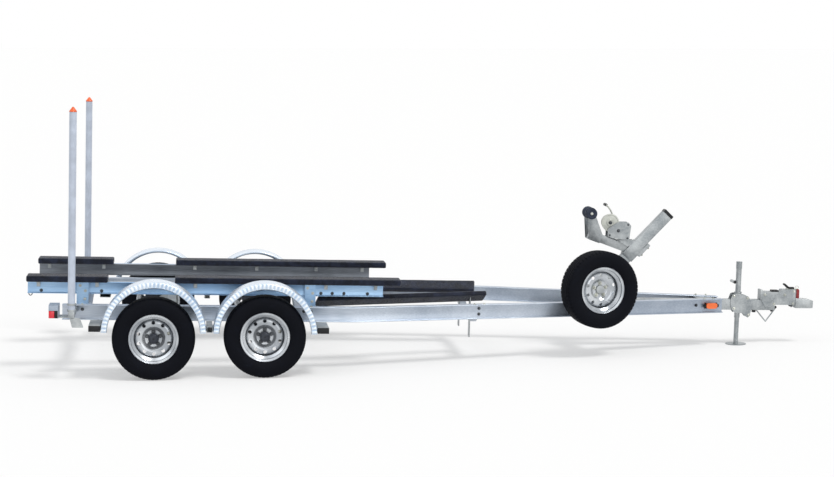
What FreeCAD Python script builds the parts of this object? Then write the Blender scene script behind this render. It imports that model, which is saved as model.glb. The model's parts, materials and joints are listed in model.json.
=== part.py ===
import FreeCAD, Part

import math
import os

# Tandem axle boat trailer parked on its jack.
# Sizes are in millimetres. The chassis is drawn level, with X forward from a point midway
# between the axles, Y to the left and Z up from the ground, and is then leaned nose down
# about the height of the axles, as it stands with the jack wound up a little way.

V = FreeCAD.Vector
AXIS_X = V(1, 0, 0)
AXIS_Y = V(0, 1, 0)
AXIS_Z = V(0, 0, 1)

SIZES = [
    # stance
    ("noseDown", 1.55, "lean of the chassis in degrees, nose down"),
    ("axleSpacing", 920, "between the two axles"),
    ("track", 2340, "between tyre centres, side to side"),
    # tyres, wheels and hubs
    ("tyreRadius", 344, "outside of the tread"),
    ("tyreWidth", 205, "widest part of the tyre"),
    ("treadWidth", 150, "flat of the tread"),
    ("tyreWall", 14, "thickness of the carcass"),
    ("beadGap", 1, "between the tyre and the top of the rim flange"),
    ("rimSeatRadius", 190.5, "where the bead sits"),
    ("rimFlangeRadius", 207, "outside of the rim flange"),
    ("rimWidth", 152, "between the bead seats' outer ends"),
    ("rimWellRadius", 166, "drop centre of the rim"),
    ("rimWall", 4, "thickness of the rolled rim"),
    ("discThick", 5, "thickness of the wheel disc"),
    ("discRise", 26, "how far the ring of holes stands out"),
    ("handHoleRadius", 15, "round holes in the disc"),
    ("handHoleCircle", 131, "radius of the circle of round holes"),
    ("handHoles", 10, "number of round holes"),
    ("centreBoreRadius", 42, "hole in the middle of the disc"),
    ("boltCircle", 57.15, "radius of the stud circle"),
    ("studRadius", 6.35, "wheel studs"),
    ("studLength", 26, "from the mounting face outwards"),
    ("nutRadius", 10.5, "across the lug nuts, half"),
    ("nutLength", 16, "height of a lug nut"),
    ("hubRadius", 34, "barrel of the hub"),
    ("hubFlangeRadius", 72, "flange that the wheel sits on"),
    ("hubFlangeThick", 12, "thickness of that flange"),
    ("hubNoseRadius", 38, "pilot through the centre bore"),
    ("hubNoseLength", 44, "pilot beyond the mounting face"),
    ("capRadius", 33, "bearing cap"),
    ("capLength", 24, "bearing cap beyond the pilot"),
    ("spindleRadius", 19, "stub axle"),
    ("spindleGap", 0.05, "running clearance of the hub on the stub axle"),
    ("rotorRadius", 127, "brake disc"),
    ("rotorThick", 22, "brake disc, over both faces"),
    ("rotorSetback", 30, "from the mounting face to the disc"),
    # axles
    ("axleTube", 76, "square torsion tube"),
    ("axleWall", 6, "wall of the torsion tube"),
    ("axleTubeEnd", 985, "half length of the torsion tube"),
    ("armLength", 152, "centre to centre of a torsion arm"),
    ("armThick", 22, "thickness of a torsion arm"),
    ("armEyeRadius", 36, "rounded ends of a torsion arm"),
    ("caliperThick", 46, "over the caliper, across the disc"),
    ("caliperSpan", 100, "length of the caliper round the disc"),
    ("caliperTall", 52, "depth of the caliper"),
    ("brakeGap", 5, "between pad and brake disc"),
    # main beams
    ("beamRear", -1226, "rear end of the main beams"),
    ("beamFront", 4700, "front end of the main beams"),
    ("beamKnee", 1237, "where the beams turn inward"),
    ("beamSpread", 927, "half width over the parallel beams"),
    ("beamSlope", 13, "angle of the front part in degrees"),
    ("beamTop", 567, "top of the beams above the ground, when level"),
    ("beamTall", 127, "height of the beams"),
    ("flangeWide", 80, "width of the beam flanges"),
    ("flangeThick", 8, "thickness of the beam flanges"),
    ("webThick", 5, "thickness of the beam web"),
    # bunk rails
    ("railRear", -1533, "rear end of the bunk rails"),
    ("railFront", 1501, "front end of the bunk rails"),
    ("railSpread", 673, "half width over the rails"),
    ("railTop", 728, "top of the rails"),
    ("railTall", 102, "height of the rails"),
    ("railWide", 80, "width of the rail flanges"),
    ("railFlange", 6, "thickness of the rail flanges"),
    ("railWeb", 5, "thickness of the rail web"),
    # cross members
    ("crossWide", 100, "width of a cross member's flanges, fore and aft"),
    ("crossTall", 76, "height of a cross member"),
    ("crossWall", 6, "wall of a cross member"),
    ("crossDrop", 110, "how far the middle hangs below the ends"),
    ("crossFlat", 300, "half length of the level middle"),
    ("rearCross", -1090, "place of the rear cross member"),
    ("frontCross", 830, "place of the cross member ahead of the wheels"),
    ("bowCross", 2350, "place of the cross member under the low bunks"),
    ("bowCrossWide", 62, "width of the front cross member's flanges"),
    # tongue
    ("tongueRear", 3300, "rear end of the tongue tube"),
    ("tongueFront", 5220, "front end of the tongue tube, inside the actuator case"),
    ("tongueWide", 76, "width of the tongue tube"),
    ("tongueWall", 5, "wall of the tongue tube"),
    ("plateThick", 8, "plates above and below the tongue tube"),
    ("rearPlate", 3460, "middle of the rear pair of plates"),
    ("frontPlate", 4560, "middle of the front pair of plates"),
    ("plateLength", 160, "plates, fore and aft"),
    # fenders
    ("fenderRadius", 430, "outside of the fenders"),
    ("fenderCentre", 380, "height of the centre of their arc"),
    ("fenderOuter", 1295, "half width over the fenders"),
    ("fenderWide", 250, "width of a fender"),
    ("fenderSkin", 3, "thickness of the fender sheet"),
    ("fenderSkirt", 50, "depth of the outer side band"),
    ("fenderLip", 14, "depth of the inner rolled lip"),
    ("fenderFoot", 392, "lower ends of the fenders"),
    ("stubWide", 96, "outrigger tubes, fore and aft"),
    ("stubTall", 50, "height of the outrigger tubes"),
    ("stubWall", 4, "wall of the outrigger tubes"),
    ("stubInner", 800, "inner ends of the outrigger tubes"),
    ("stubOuter", 1240, "outer ends of the outrigger tubes"),
    ("capThick", 8, "plastic end caps"),
    ("tabThick", 6, "fender tabs and brackets"),
    ("tabWide", 60, "width of a fender tab"),
    # bunks
    ("bunkWide", 192, "carpeted boards lying flat"),
    ("bunkThick", 54, "thickness of a carpeted board"),
    ("rearBunkRear", -1540, "rear end of the short bunks"),
    ("rearBunkFront", -860, "front end of the short bunks"),
    ("longBunkRear", -294, "rear end of the long bunks"),
    ("longBunkFront", 1650, "front end of the long bunks"),
    ("lowBunkRear", 930, "rear end of the low bunks"),
    ("lowBunkFront", 2450, "front end of the low bunks"),
    ("lowBunkRearOut", 560, "half spread of the low bunks at the rear"),
    ("lowBunkFrontOut", 300, "half spread of the low bunks at the front"),
    ("lowBunkRearHeight", 566, "height of their middle at the rear"),
    ("lowBunkFrontHeight", 597, "height of their middle at the front"),
    ("lowBunkCant", 32, "lean of the low bunks in degrees"),
    ("lowBunkWide", 140, "width of a low bunk"),
    ("lowBunkThick", 46, "thickness of a low bunk"),
    ("bracketThick", 8, "angle brackets that carry rails and bunks"),
    ("bracketWide", 68, "width of those brackets"),
    ("legReach", 230, "lower end of the front bunk legs"),
    # guide posts and rear arms
    ("postPlace", -1130, "guide posts, fore and aft"),
    ("postOut", 1232, "half spread of the guide posts"),
    ("postRadius", 30, "outside of a guide post"),
    ("postWall", 4, "wall of a guide post"),
    ("postTop", 2192, "top of the pipe, below its cap"),
    ("postCapTall", 42, "pointed cap"),
    ("armTube", 50, "square tube that carries a guide post"),
    ("armDrop", 12, "from the top of the beam down to that tube"),
    ("pegLength", 180, "peg inside the guide post"),
    ("pegGap", 0.3, "between the peg and the pipe"),
    # lamps
    ("lampDeep", 46, "red lens, fore and aft"),
    ("lampHouseDeep", 27, "lamp housing, fore and aft"),
    ("lampTall", 62, "height of a tail lamp"),
    ("lampWide", 150, "width of a tail lamp"),
    ("lampOuter", 1255, "outer side of a tail lamp"),
    ("lampTop", 562, "top of a tail lamp"),
    ("lampRear", -1313, "rear face of the lens"),
    ("markerPlace", 4587, "middle of the amber lamps"),
    ("markerLong", 112, "length of an amber lamp"),
    ("markerTall", 52, "height of an amber lamp"),
    ("markerDeep", 26, "depth of an amber lamp"),
    # spare wheel
    ("sparePlace", 3400, "middle of the spare, fore and aft"),
    ("spareHeight", 703, "height of the spare's middle"),
    ("spareOut", 150, "from the beam's outer face to the spare's middle plane"),
    ("carrierTube", 50, "square tube of the spare carrier"),
    # winch stand
    ("standFoot", 3455, "foot of the winch stand on the tongue"),
    ("standAngle", 47, "lean of the stand in degrees above level"),
    ("standLength", 1060, "length of the stand"),
    ("standDeep", 100, "depth of the stand tube"),
    ("standWide", 76, "width of the stand tube"),
    ("standWall", 5, "wall of the stand tube"),
    ("clampAlong", 590, "from the foot to the middle of the clamp"),
    ("clampLong", 170, "length of the clamp"),
    ("clampWall", 8, "wall of the clamp"),
    ("strutAngle", 19.4, "slope of the arm, upward to the rear"),
    ("strutLength", 440, "length of the arm"),
    ("strutTall", 76, "height of the arm tube"),
    ("strutWide", 64, "width of the arm tube"),
    ("rollerPlace", 3445, "bow roller, fore and aft"),
    ("rollerHeight", 1330, "bow roller above the ground"),
    ("rollerRadius", 54, "outside of the bow roller"),
    ("rollerWaist", 34, "narrow middle of the bow roller"),
    ("rollerWide", 150, "width of the bow roller"),
    ("rollerPin", 8, "radius of its pin"),
    ("rollerGap", 0.08, "running clearance on the pin"),
    ("earGap", 5, "between the roller and each side plate"),
    ("earThick", 6, "side plates of the roller bracket"),
    ("winchPlace", 3634, "winch drum, fore and aft"),
    ("winchHeight", 1246, "winch drum above the ground"),
    ("gearRadius", 80, "large gear of the winch"),
    ("gearThick", 10, "thickness of the large gear"),
    ("drumRadius", 26, "winch drum"),
    ("drumFlange", 70, "radius of the drum's flange"),
    ("drumLength", 70, "between the drum's flanges"),
    ("drumPin", 8, "radius of the drum's pin"),
    ("winchPlate", 4, "side plates of the winch"),
    ("crankAhead", 95, "crank shaft ahead of the drum"),
    ("crankShaft", 8, "radius of the crank shaft"),
    ("crankReach", 175, "length of the crank"),
    ("gripLength", 90, "length of the crank's grip"),
    ("gripRadius", 14, "radius of the crank's grip"),
    # jack
    ("jackPlace", 4874, "jack, fore and aft"),
    ("jackRadius", 25, "outer tube of the jack"),
    ("jackWall", 3, "wall of the outer tube"),
    ("jackTop", 901, "top of the outer tube"),
    ("jackBottom", 380, "lower end of the outer tube"),
    ("legRadius", 21.5, "inner tube of the jack"),
    ("legTop", 700, "upper end of the inner tube"),
    ("handleHeight", 720, "cranking shaft of the jack"),
    ("footRadius", 95, "foot plate"),
    ("footThick", 6, "thickness of the foot plate"),
    ("jackPlateLong", 190, "jack bracket, fore and aft"),
    ("jackPlateTall", 200, "height of the jack bracket"),
    ("jackPlateLow", 380, "lower edge of the jack bracket"),
    # actuator and coupler
    ("caseRear", 5095, "rear end of the actuator case"),
    ("caseFront", 5413, "front end of the actuator case"),
    ("caseTop", 645, "top of the actuator case"),
    ("caseBottom", 478, "lower edge of the actuator case"),
    ("caseWall", 4, "wall of the actuator case"),
    ("noseFront", 5595, "front of the coupler"),
    ("noseTop", 571, "top of the coupler"),
    ("noseBottom", 479, "lower edge of the coupler"),
    ("noseRadius", 50, "rounded front of the coupler"),
    ("ballRadius", 25.9, "socket for a 50.8 mm hitch ball"),
    ("ballPlace", 5535, "middle of the ball socket"),
    ("keeperRod", 6, "radius of the chain keeper's rod"),
    ("keeperRear", 5052, "rear end of the chain keeper"),
    ("keeperFront", 5245, "front end of the chain keeper"),
    ("keeperDrop", 110, "depth of the chain keeper"),
    ("overrun", 5, "how far a cutter passes a face"),
]

document = FreeCAD.newDocument("BoatTrailer")
sheet = document.addObject("Spreadsheet::Sheet", "Sizes")
for row, (alias, number, meaning) in enumerate(SIZES, start=1):
    sheet.set("A%d" % row, alias)
    sheet.set("B%d" % row, str(number))
    sheet.set("C%d" % row, meaning)
    sheet.setAlias("B%d" % row, alias)
document.recompute()


class Named:
    """Reads the sheet's values by their alias."""

    def __getattr__(self, alias):
        return float(sheet.get(alias))


s = Named()

lean = math.radians(s.noseDown)
halfSpacing = s.axleSpacing / 2
midLength = (s.rearBunkRear + s.noseFront) / 2
beamBottom = s.beamTop - s.beamTall
webInset = (s.flangeWide - s.webThick) / 2

# The whole chassis turns about the axles' height, and its middle goes to the origin.
chassisPlace = FreeCAD.Placement(
    V(-midLength - s.tyreRadius * math.sin(lean), 0, s.tyreRadius * (1 - math.cos(lean))),
    FreeCAD.Rotation(AXIS_Y, s.noseDown))

nodes = []


def keep(label, shape, placement=None):
    """Adds a finished sub-part to the document."""
    feature = document.addObject("Part::Feature", label)
    feature.Label = label
    feature.Shape = shape
    place = chassisPlace if placement is None else placement
    feature.Placement = place.multiply(shape.Placement)
    nodes.append(feature)
    return feature


def block(x0, x1, y0, y1, z0, z1):
    return Part.makeBox(x1 - x0, y1 - y0, z1 - z0, V(x0, y0, z0))


def plate(points, low, high):
    """A plate with a plan outline of (x, y) points, from one height to another."""
    wire = Part.makePolygon([V(x, y, low) for x, y in points] + [V(points[0][0], points[0][1], low)])
    return Part.Face(wire).extrude(V(0, 0, high - low))


def sidePlate(points, near, far):
    """A plate with a side outline of (x, z) points, from one width to another."""
    wire = Part.makePolygon([V(x, near, z) for x, z in points] + [V(points[0][0], near, points[0][1])])
    return Part.Face(wire).extrude(V(0, far - near, 0))


def crossPlate(points, rear, front):
    """A plate with a front outline of (y, z) points, from one station to another."""
    wire = Part.makePolygon([V(rear, y, z) for y, z in points] + [V(rear, points[0][0], points[0][1])])
    return Part.Face(wire).extrude(V(front - rear, 0, 0))


def turned(points):
    """A solid turned about the Y axis from (radius, y) points."""
    corners = [V(r, y, 0) for r, y in points]
    face = Part.Face(Part.makePolygon(corners + [corners[0]]))
    return face.revolve(V(0, 0, 0), AXIS_Y, 360)


def rod(start, end, radius):
    along = end - start
    return Part.makeCylinder(radius, along.Length, start, along)


def mirrored(shape):
    return shape.mirror(V(0, 0, 0), AXIS_Y)


def pair(shape):
    """A right hand piece and its left hand mirror image."""
    return Part.makeCompound([shape, mirrored(shape)])


def fused(shapes):
    return shapes[0].multiFuse(shapes[1:]).removeSplitter()


# Main beams

def beamOuter(x):
    """Half width over the beams at a station."""
    if x <= s.beamKnee:
        return s.beamSpread
    return s.beamSpread - math.tan(math.radians(s.beamSlope)) * (x - s.beamKnee)


def beamLine(inset, rear, front):
    """Points of a line that runs inside the beam's outer edge, from rear to front."""
    bend = math.radians(s.beamSlope)
    knee = s.beamKnee - inset * math.tan(bend / 2)
    slip = inset / math.cos(bend)
    points = [(rear, s.beamSpread - inset)] if rear < knee else []
    if rear < knee < front:
        points.append((knee, s.beamSpread - inset))
    points.append((front, beamOuter(front) - slip if front > knee else s.beamSpread - inset))
    if rear >= knee:
        points.insert(0, (rear, beamOuter(rear) - slip))
    return points


def beamStrip(insetOut, insetIn, rear, front, low, high):
    outer = beamLine(insetOut, rear, front)
    inner = beamLine(insetIn, rear, front)
    return plate(outer + inner[::-1], low, high)


def mainBeam():
    rear, front = s.beamRear, s.beamFront
    return fused([
        beamStrip(0, s.flangeWide, rear, front, beamBottom, beamBottom + s.flangeThick),
        beamStrip(0, s.flangeWide, rear, front, s.beamTop - s.flangeThick, s.beamTop),
        beamStrip(webInset, webInset + s.webThick, rear, front,
                  beamBottom + s.flangeThick, s.beamTop - s.flangeThick)])


leftBeam = mainBeam()
keep("beam_left", leftBeam)
keep("beam_right", mirrored(leftBeam))


# Bunk rails, I sections on edge

def rail():
    out = s.railSpread
    low = s.railTop - s.railTall
    mid = out - s.railWide / 2
    return fused([
        block(s.railRear, s.railFront, out - s.railWide, out, low, low + s.railFlange),
        block(s.railRear, s.railFront, out - s.railWide, out, s.railTop - s.railFlange, s.railTop),
        block(s.railRear, s.railFront, mid - s.railWeb / 2, mid + s.railWeb / 2,
              low + s.railFlange, s.railTop - s.railFlange)])


keep("bunk_rails", pair(rail()))
railBottom = s.railTop - s.railTall
railMiddle = s.railSpread - s.railWide / 2


# Cross members: channels that hang lower in the middle, so that a keel clears them

def crossOutline(place, inset):
    """Outline of a cross member seen from the front, its wall thinned by an inset."""
    reach = beamOuter(place) - webInset / math.cos(math.radians(s.beamSlope)) - s.webThick
    if place <= s.beamKnee:
        reach = s.beamSpread - webInset - s.webThick
    top = s.beamTop - s.flangeThick - s.plateThick
    low = top - s.crossTall
    knee = min(s.crossFlat, reach / 2)
    shoulder = reach - s.flangeWide
    upper = [(-reach, top - inset), (-shoulder, top - inset), (-knee, top - s.crossDrop - inset),
             (knee, top - s.crossDrop - inset), (shoulder, top - inset), (reach, top - inset)]
    lower = [(reach, low + inset), (shoulder, low + inset), (knee, low - s.crossDrop + inset),
             (-knee, low - s.crossDrop + inset), (-shoulder, low + inset), (-reach, low + inset)]
    return upper + lower


def crossMember(place, wide):
    rear, front = place - wide / 2, place + wide / 2
    whole = crossPlate(crossOutline(place, 0), rear, front)
    hollow = crossPlate(crossOutline(place, s.crossWall), rear + s.crossWall, front + s.overrun)
    ends = block(rear, front + s.overrun, -s.track, s.track, 0, s.track)
    return whole.cut(hollow.common(ends))


keep("cross_member_rear", crossMember(s.rearCross, s.crossWide))
keep("cross_member_front", crossMember(s.frontCross, s.crossWide))


def taperedCross(place, wide):
    """A cross member between the converging beams, its ends cut to the beams' slope."""
    member = crossMember(place, wide)
    rear, front = place - wide, place + wide
    inner = beamLine(webInset + s.webThick, rear, front)
    outline = inner + [(x, -y) for x, y in inner[::-1]]
    return member.common(plate(outline, 0, s.beamTop))


keep("cross_member_bow", taperedCross(s.bowCross, s.bowCrossWide))


# Tongue tube, held between plates that bear on the insides of the beam flanges

tubeLow = beamBottom + s.flangeThick + s.plateThick
tubeHigh = s.beamTop - s.flangeThick - s.plateThick
halfTongue = s.tongueWide / 2


def squareTube(x0, x1, y0, y1, z0, z1, wall):
    """A tube along X."""
    outer = block(x0, x1, y0, y1, z0, z1)
    inner = block(x0 - s.overrun, x1 + s.overrun, y0 + wall, y1 - wall, z0 + wall, z1 - wall)
    return outer.cut(inner)


keep("tongue_tube", squareTube(s.tongueRear, s.tongueFront, -halfTongue, halfTongue,
                               tubeLow, tubeHigh, s.tongueWall))


def tonguePlate(middle, low):
    rear, front = middle - s.plateLength / 2, middle + s.plateLength / 2
    edge = beamLine(webInset + s.webThick, rear, front)
    return plate(edge + [(x, -y) for x, y in edge[::-1]], low, low + s.plateThick)


keep("tongue_plates", Part.makeCompound(
    [tonguePlate(middle, low) for middle in (s.rearPlate, s.frontPlate)
     for low in (tubeLow - s.plateThick, tubeHigh)]))


# Wheels, drawn with their axle along +Y and the outer side towards +Y

def tyre():
    """A hollow tyre, its beads on the rim."""
    half = s.tyreWidth / 2
    tread = s.treadWidth / 2
    bead = s.rimWidth / 2 - s.rimWall
    seat = s.rimSeatRadius
    crown = s.tyreRadius
    bulge = (crown + seat) / 2
    wall = s.tyreWall
    shoulder = crown - wall
    outline = [
        (seat, bead - wall), (seat, bead), (s.rimFlangeRadius + s.beadGap, bead),
        (s.rimFlangeRadius + wall / 2, bead + wall / 2),
        (bulge - wall * 2, half - wall / 4), (bulge, half), (bulge + wall * 2, half - wall / 5),
        (shoulder, tread + wall * 1.2), (crown - wall / 4, tread), (crown, tread / 2)]
    inside = [
        (crown - wall, tread / 2), (crown - wall, tread - wall),
        (bulge + wall * 2, half - wall * 1.3), (bulge - wall * 2, half - wall * 1.3),
        (s.rimFlangeRadius + wall, bead - wall / 2)]
    side = outline + [(r, -y) for r, y in outline[::-1]]
    cavity = [(r, -y) for r, y in inside[::-1]]
    return turned(side + cavity + inside)


def rim():
    """A rolled rim with a pressed disc and a ring of round holes."""
    half = s.rimWidth / 2
    flange = s.rimFlangeRadius
    seat = s.rimSeatRadius
    wall = s.rimWall
    well = s.rimWellRadius
    seatEnd = half - wall
    wellEdge = half / 2
    seatEdge = wellEdge + (seat - well) / 2
    outer = [(seat, seatEdge), (seat, seatEnd), (flange, seatEnd), (flange, half + wall),
             (flange - wall, half + wall), (flange - wall, half), (seat - wall, half),
             (seat - wall, seatEdge), (well - wall, wellEdge)]
    top = [(well, wellEdge)] + outer
    barrel = turned(top + [(r, -y) for r, y in top[::-1]])
    rise = s.discRise
    ring = s.handHoleCircle
    bore = s.centreBoreRadius
    flat = s.hubFlangeRadius
    inner = well - wall
    face = [(bore, s.discThick), (flat, s.discThick), (flat + rise / 2, rise), (ring, rise + s.discThick),
            (ring + rise / 2, rise), (inner, -s.discThick)]
    back = [(inner, -rise), (ring + rise / 3, rise - s.discThick * 1.6), (ring, rise),
            (flat + rise / 2 + s.discThick / 2, rise - s.discThick * 1.6), (flat + s.discThick / 2, 0),
            (bore, 0)]
    disc = turned(face + back)
    for number in range(int(s.handHoles)):
        turn = 2 * math.pi * number / s.handHoles
        spot = V(ring * math.sin(turn), 0, ring * math.cos(turn))
        disc = disc.cut(Part.makeCylinder(s.handHoleRadius, s.rimWidth, spot, AXIS_Y))
    for number in range(5):
        turn = 2 * math.pi * number / 5
        spot = V(s.boltCircle * math.sin(turn), -s.overrun, s.boltCircle * math.cos(turn))
        disc = disc.cut(Part.makeCylinder(s.studRadius + s.studRadius / 8, s.rimWidth / 2, spot, AXIS_Y))
    return fused([barrel, disc])


def hub():
    """Hub, brake disc, studs and nuts, bored for the stub axle."""
    back = s.rotorSetback + s.rotorThick
    body = turned([
        (0, -back), (s.hubRadius, -back), (s.rotorRadius, -back), (s.rotorRadius, -s.rotorSetback),
        (s.hubRadius + s.hubFlangeThick, -s.rotorSetback), (s.hubRadius + s.hubFlangeThick, -s.hubFlangeThick),
        (s.hubFlangeRadius, -s.hubFlangeThick), (s.hubFlangeRadius, 0), (s.hubNoseRadius, 0),
        (s.hubNoseRadius, s.hubNoseLength), (s.capRadius, s.hubNoseLength),
        (s.capRadius, s.hubNoseLength + s.capLength * 0.7), (s.capRadius * 0.7, s.hubNoseLength + s.capLength),
        (0, s.hubNoseLength + s.capLength)])
    bore = Part.makeCylinder(s.spindleRadius + s.spindleGap, back + s.hubNoseLength + s.overrun,
                             V(0, -back - s.overrun, 0), AXIS_Y)
    solids = [body.cut(bore)]
    for number in range(5):
        turn = 2 * math.pi * number / 5
        spot = V(s.boltCircle * math.sin(turn), 0, s.boltCircle * math.cos(turn))
        start = V(spot.x, -s.hubFlangeThick / 2, spot.z)
        solids.append(Part.makeCylinder(s.studRadius, s.studLength + s.hubFlangeThick / 2, start, AXIS_Y))
        nutStart = V(spot.x, s.discThick, spot.z)
        solids.append(Part.makeCylinder(s.nutRadius, s.nutLength, nutStart, AXIS_Y))
    return fused(solids)


tyreShape = tyre()
rimShape = rim()
hubShape = hub()


def wheelPlace(end, side):
    """Middle of a road wheel: end is -1 at the rear and 1 at the front, side is 1 on the left."""
    middle = V(end * halfSpacing - midLength, side * s.track / 2, s.tyreRadius)
    return FreeCAD.Placement(middle, FreeCAD.Rotation(AXIS_Z, 0 if side > 0 else 180))


corners = [("rear", -1, "left", 1), ("rear", -1, "right", -1),
           ("front", 1, "left", 1), ("front", 1, "right", -1)]
for end, endSign, side, sideSign in corners:
    place = wheelPlace(endSign, sideSign)
    keep("tyre_%s_%s" % (end, side), tyreShape.copy(), place)
    keep("wheel_%s_%s" % (end, side), rimShape.copy(), place)
    keep("hub_%s_%s" % (end, side), hubShape.copy(), place)


# Torsion axles: a square tube under the beams, with a trailing arm and stub axle each side

def spindleInChassis(end):
    """Where a road wheel's axle lies once the chassis has leaned."""
    across = end * halfSpacing
    return V(across * math.cos(lean), 0, s.tyreRadius + across * math.sin(lean))


def axle(end):
    spindle = spindleInChassis(end)
    height = beamBottom - s.axleTube / 2
    drop = height - spindle.z
    ahead = math.sqrt(s.armLength ** 2 - drop ** 2)
    pivot = V(spindle.x + ahead, 0, height)
    half = s.axleTube / 2
    tube = block(pivot.x - half, pivot.x + half, -s.axleTubeEnd, s.axleTubeEnd, height - half, height + half)
    inside = half - s.axleWall
    hollow = block(pivot.x - inside, pivot.x + inside, -s.axleTubeEnd - s.overrun, s.axleTubeEnd + s.overrun,
                   height - inside, height + inside)
    solids = [tube.cut(hollow)]
    armInner = s.axleTubeEnd
    armOuter = armInner + s.armThick
    back = s.rotorSetback + s.rotorThick
    for sign in (-1, 1):
        edges = sorted((sign * armInner, sign * armOuter))
        ends = [Part.makeCylinder(s.armEyeRadius, s.armThick, V(centre.x, edges[0], centre.z), AXIS_Y)
                for centre in (pivot, spindle)]
        along = (spindle - pivot).normalize()
        across = V(-along.z, 0, along.x) * s.armEyeRadius
        outline = [pivot + across, spindle + across, spindle - across, pivot - across]
        arm = sidePlate([(point.x, point.z) for point in outline], edges[0], edges[1])
        reach = s.track / 2 + s.hubNoseLength - s.overrun
        stub = rod(V(spindle.x, sign * armInner, spindle.z), V(spindle.x, sign * reach, spindle.z),
                   s.spindleRadius)
        core = block(pivot.x - inside * 0.8, pivot.x + inside * 0.8, min(sign * armInner, sign * (armInner - back)),
                     max(sign * armInner, sign * (armInner - back)), height - inside, height + inside)
        solids += ends + [arm, stub, core]
    return fused(solids)


keep("axle_rear", axle(-1))
keep("axle_front", axle(1))


def caliper(end):
    """A caliper astride the brake disc, on an ear from the torsion arm."""
    spindle = spindleInChassis(end)
    discMiddle = s.track / 2 - s.rotorSetback - s.rotorThick / 2
    inner = discMiddle - s.caliperThick / 2
    outer = discMiddle + s.caliperThick / 2
    edge = spindle.x + s.rotorRadius
    body = block(edge - s.caliperTall * 0.7, edge + s.caliperTall * 0.3, inner, outer,
                 spindle.z - s.caliperSpan / 2, spindle.z + s.caliperSpan / 2)
    gap = s.rotorThick / 2 + s.brakeGap
    slot = Part.makeCylinder(s.rotorRadius + s.brakeGap, gap * 2, V(spindle.x, discMiddle - gap, spindle.z),
                             AXIS_Y)
    armOuter = s.axleTubeEnd + s.armThick
    ear = block(spindle.x + s.spindleRadius + s.brakeGap, edge, armOuter, inner,
                spindle.z - s.armEyeRadius / 2, spindle.z + s.armEyeRadius / 2)
    return body.cut(slot).fuse(ear).removeSplitter()


keep("brake_calipers", Part.makeCompound([pair(caliper(-1)), pair(caliper(1))]))


# Outrigger tubes under the beams, with the fenders between them

stubTop = beamBottom
stubLow = stubTop - s.stubTall
outerStub = halfSpacing + s.fenderRadius + s.stubWide / 2 + s.tabThick
middleWide = (halfSpacing - s.fenderRadius - s.tabThick) * 2


def outrigger(place, wide, outer):
    tube = block(place - wide / 2, place + wide / 2, s.stubInner, outer, stubLow, stubTop)
    wall = s.stubWall
    hollow = block(place - wide / 2 + wall, place + wide / 2 - wall, s.stubInner - s.overrun,
                   outer + s.overrun, stubLow + wall, stubTop - wall)
    return tube.cut(hollow)


keep("fender_outriggers", Part.makeCompound([pair(outrigger(place, wide, s.stubOuter)) for place, wide in (
    (-outerStub, s.stubWide), (0, middleWide), (outerStub, s.stubWide))]))


def outriggerCap(place, wide):
    return block(place - wide / 2, place + wide / 2, s.stubOuter, s.stubOuter + s.capThick, stubLow, stubTop)


def fender(end):
    """A half round fender on the left side: skin, outer band and inner lip."""
    centre = end * halfSpacing
    outer = s.fenderOuter
    inner = outer - s.fenderWide
    radius = s.fenderRadius

    def ring(big, small, near, far):
        whole = Part.makeCylinder(big, far - near, V(centre, near, s.fenderCentre), AXIS_Y)
        return whole.cut(Part.makeCylinder(small, far - near, V(centre, near, s.fenderCentre), AXIS_Y))

    skin = ring(radius, radius - s.fenderSkin, inner, outer)
    band = ring(radius, radius - s.fenderSkirt, outer - s.fenderSkin, outer)
    lip = ring(radius, radius - s.fenderLip, inner, inner + s.fenderSkin)
    cutter = block(centre - radius * 2, centre + radius * 2, inner - s.overrun, outer + s.overrun,
                   s.fenderCentre - radius * 2, s.fenderFoot)
    return fused([skin, band, lip]).cut(cutter)


for end, endSign in (("rear", -1), ("front", 1)):
    shape = fender(endSign)
    keep("fender_%s_left" % end, shape)
    keep("fender_%s_right" % end, mirrored(shape))


def fenderTab(end, toward):
    """A bracket that bolts a fender's foot to the outrigger beside it."""
    centre = end * halfSpacing
    inner = s.fenderOuter - s.fenderWide
    middle = inner + s.fenderWide * 0.4
    face = centre + toward * (s.fenderRadius + s.tabThick)
    back = centre + toward * s.fenderRadius * 0.98
    whole = block(min(face, back), max(face, back), middle - s.tabWide / 2, middle + s.tabWide / 2,
                  s.fenderFoot, stubTop)
    drum = Part.makeCylinder(s.fenderRadius, s.fenderWide, V(centre, inner, s.fenderCentre), AXIS_Y)
    return whole.cut(drum)


keep("fender_brackets", Part.makeCompound(
    [pair(fenderTab(end, toward)) for end in (-1, 1) for toward in (-1, 1)]))


# Bunks: carpeted boards on the rails, and a lower pair that closes toward the bow

def flatBunk(rear, front):
    return block(rear, front, railMiddle - s.bunkWide / 2, railMiddle + s.bunkWide / 2,
                 s.railTop, s.railTop + s.bunkThick)


keep("bunks_upper", Part.makeCompound([pair(flatBunk(s.rearBunkRear, s.rearBunkFront)),
                                       pair(flatBunk(s.longBunkRear, s.longBunkFront))]))


def lowBunkLine():
    rear = V(s.lowBunkRear, s.lowBunkRearOut, s.lowBunkRearHeight)
    front = V(s.lowBunkFront, s.lowBunkFrontOut, s.lowBunkFrontHeight)
    return rear, front


def lowBunk():
    rear, front = lowBunkLine()
    length = (front - rear).Length
    board = block(0, length, -s.lowBunkWide / 2, s.lowBunkWide / 2, -s.lowBunkThick / 2, s.lowBunkThick / 2)
    board.rotate(V(0, 0, 0), AXIS_X, s.lowBunkCant)
    run = front - rear
    board.rotate(V(0, 0, 0), AXIS_Y, -math.degrees(math.atan2(run.z, math.hypot(run.x, run.y))))
    board.rotate(V(0, 0, 0), AXIS_Z, math.degrees(math.atan2(run.y, run.x)))
    board.translate(rear)
    return board


lowBunkLeft = lowBunk()
keep("bunks_low", pair(lowBunkLeft))


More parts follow.
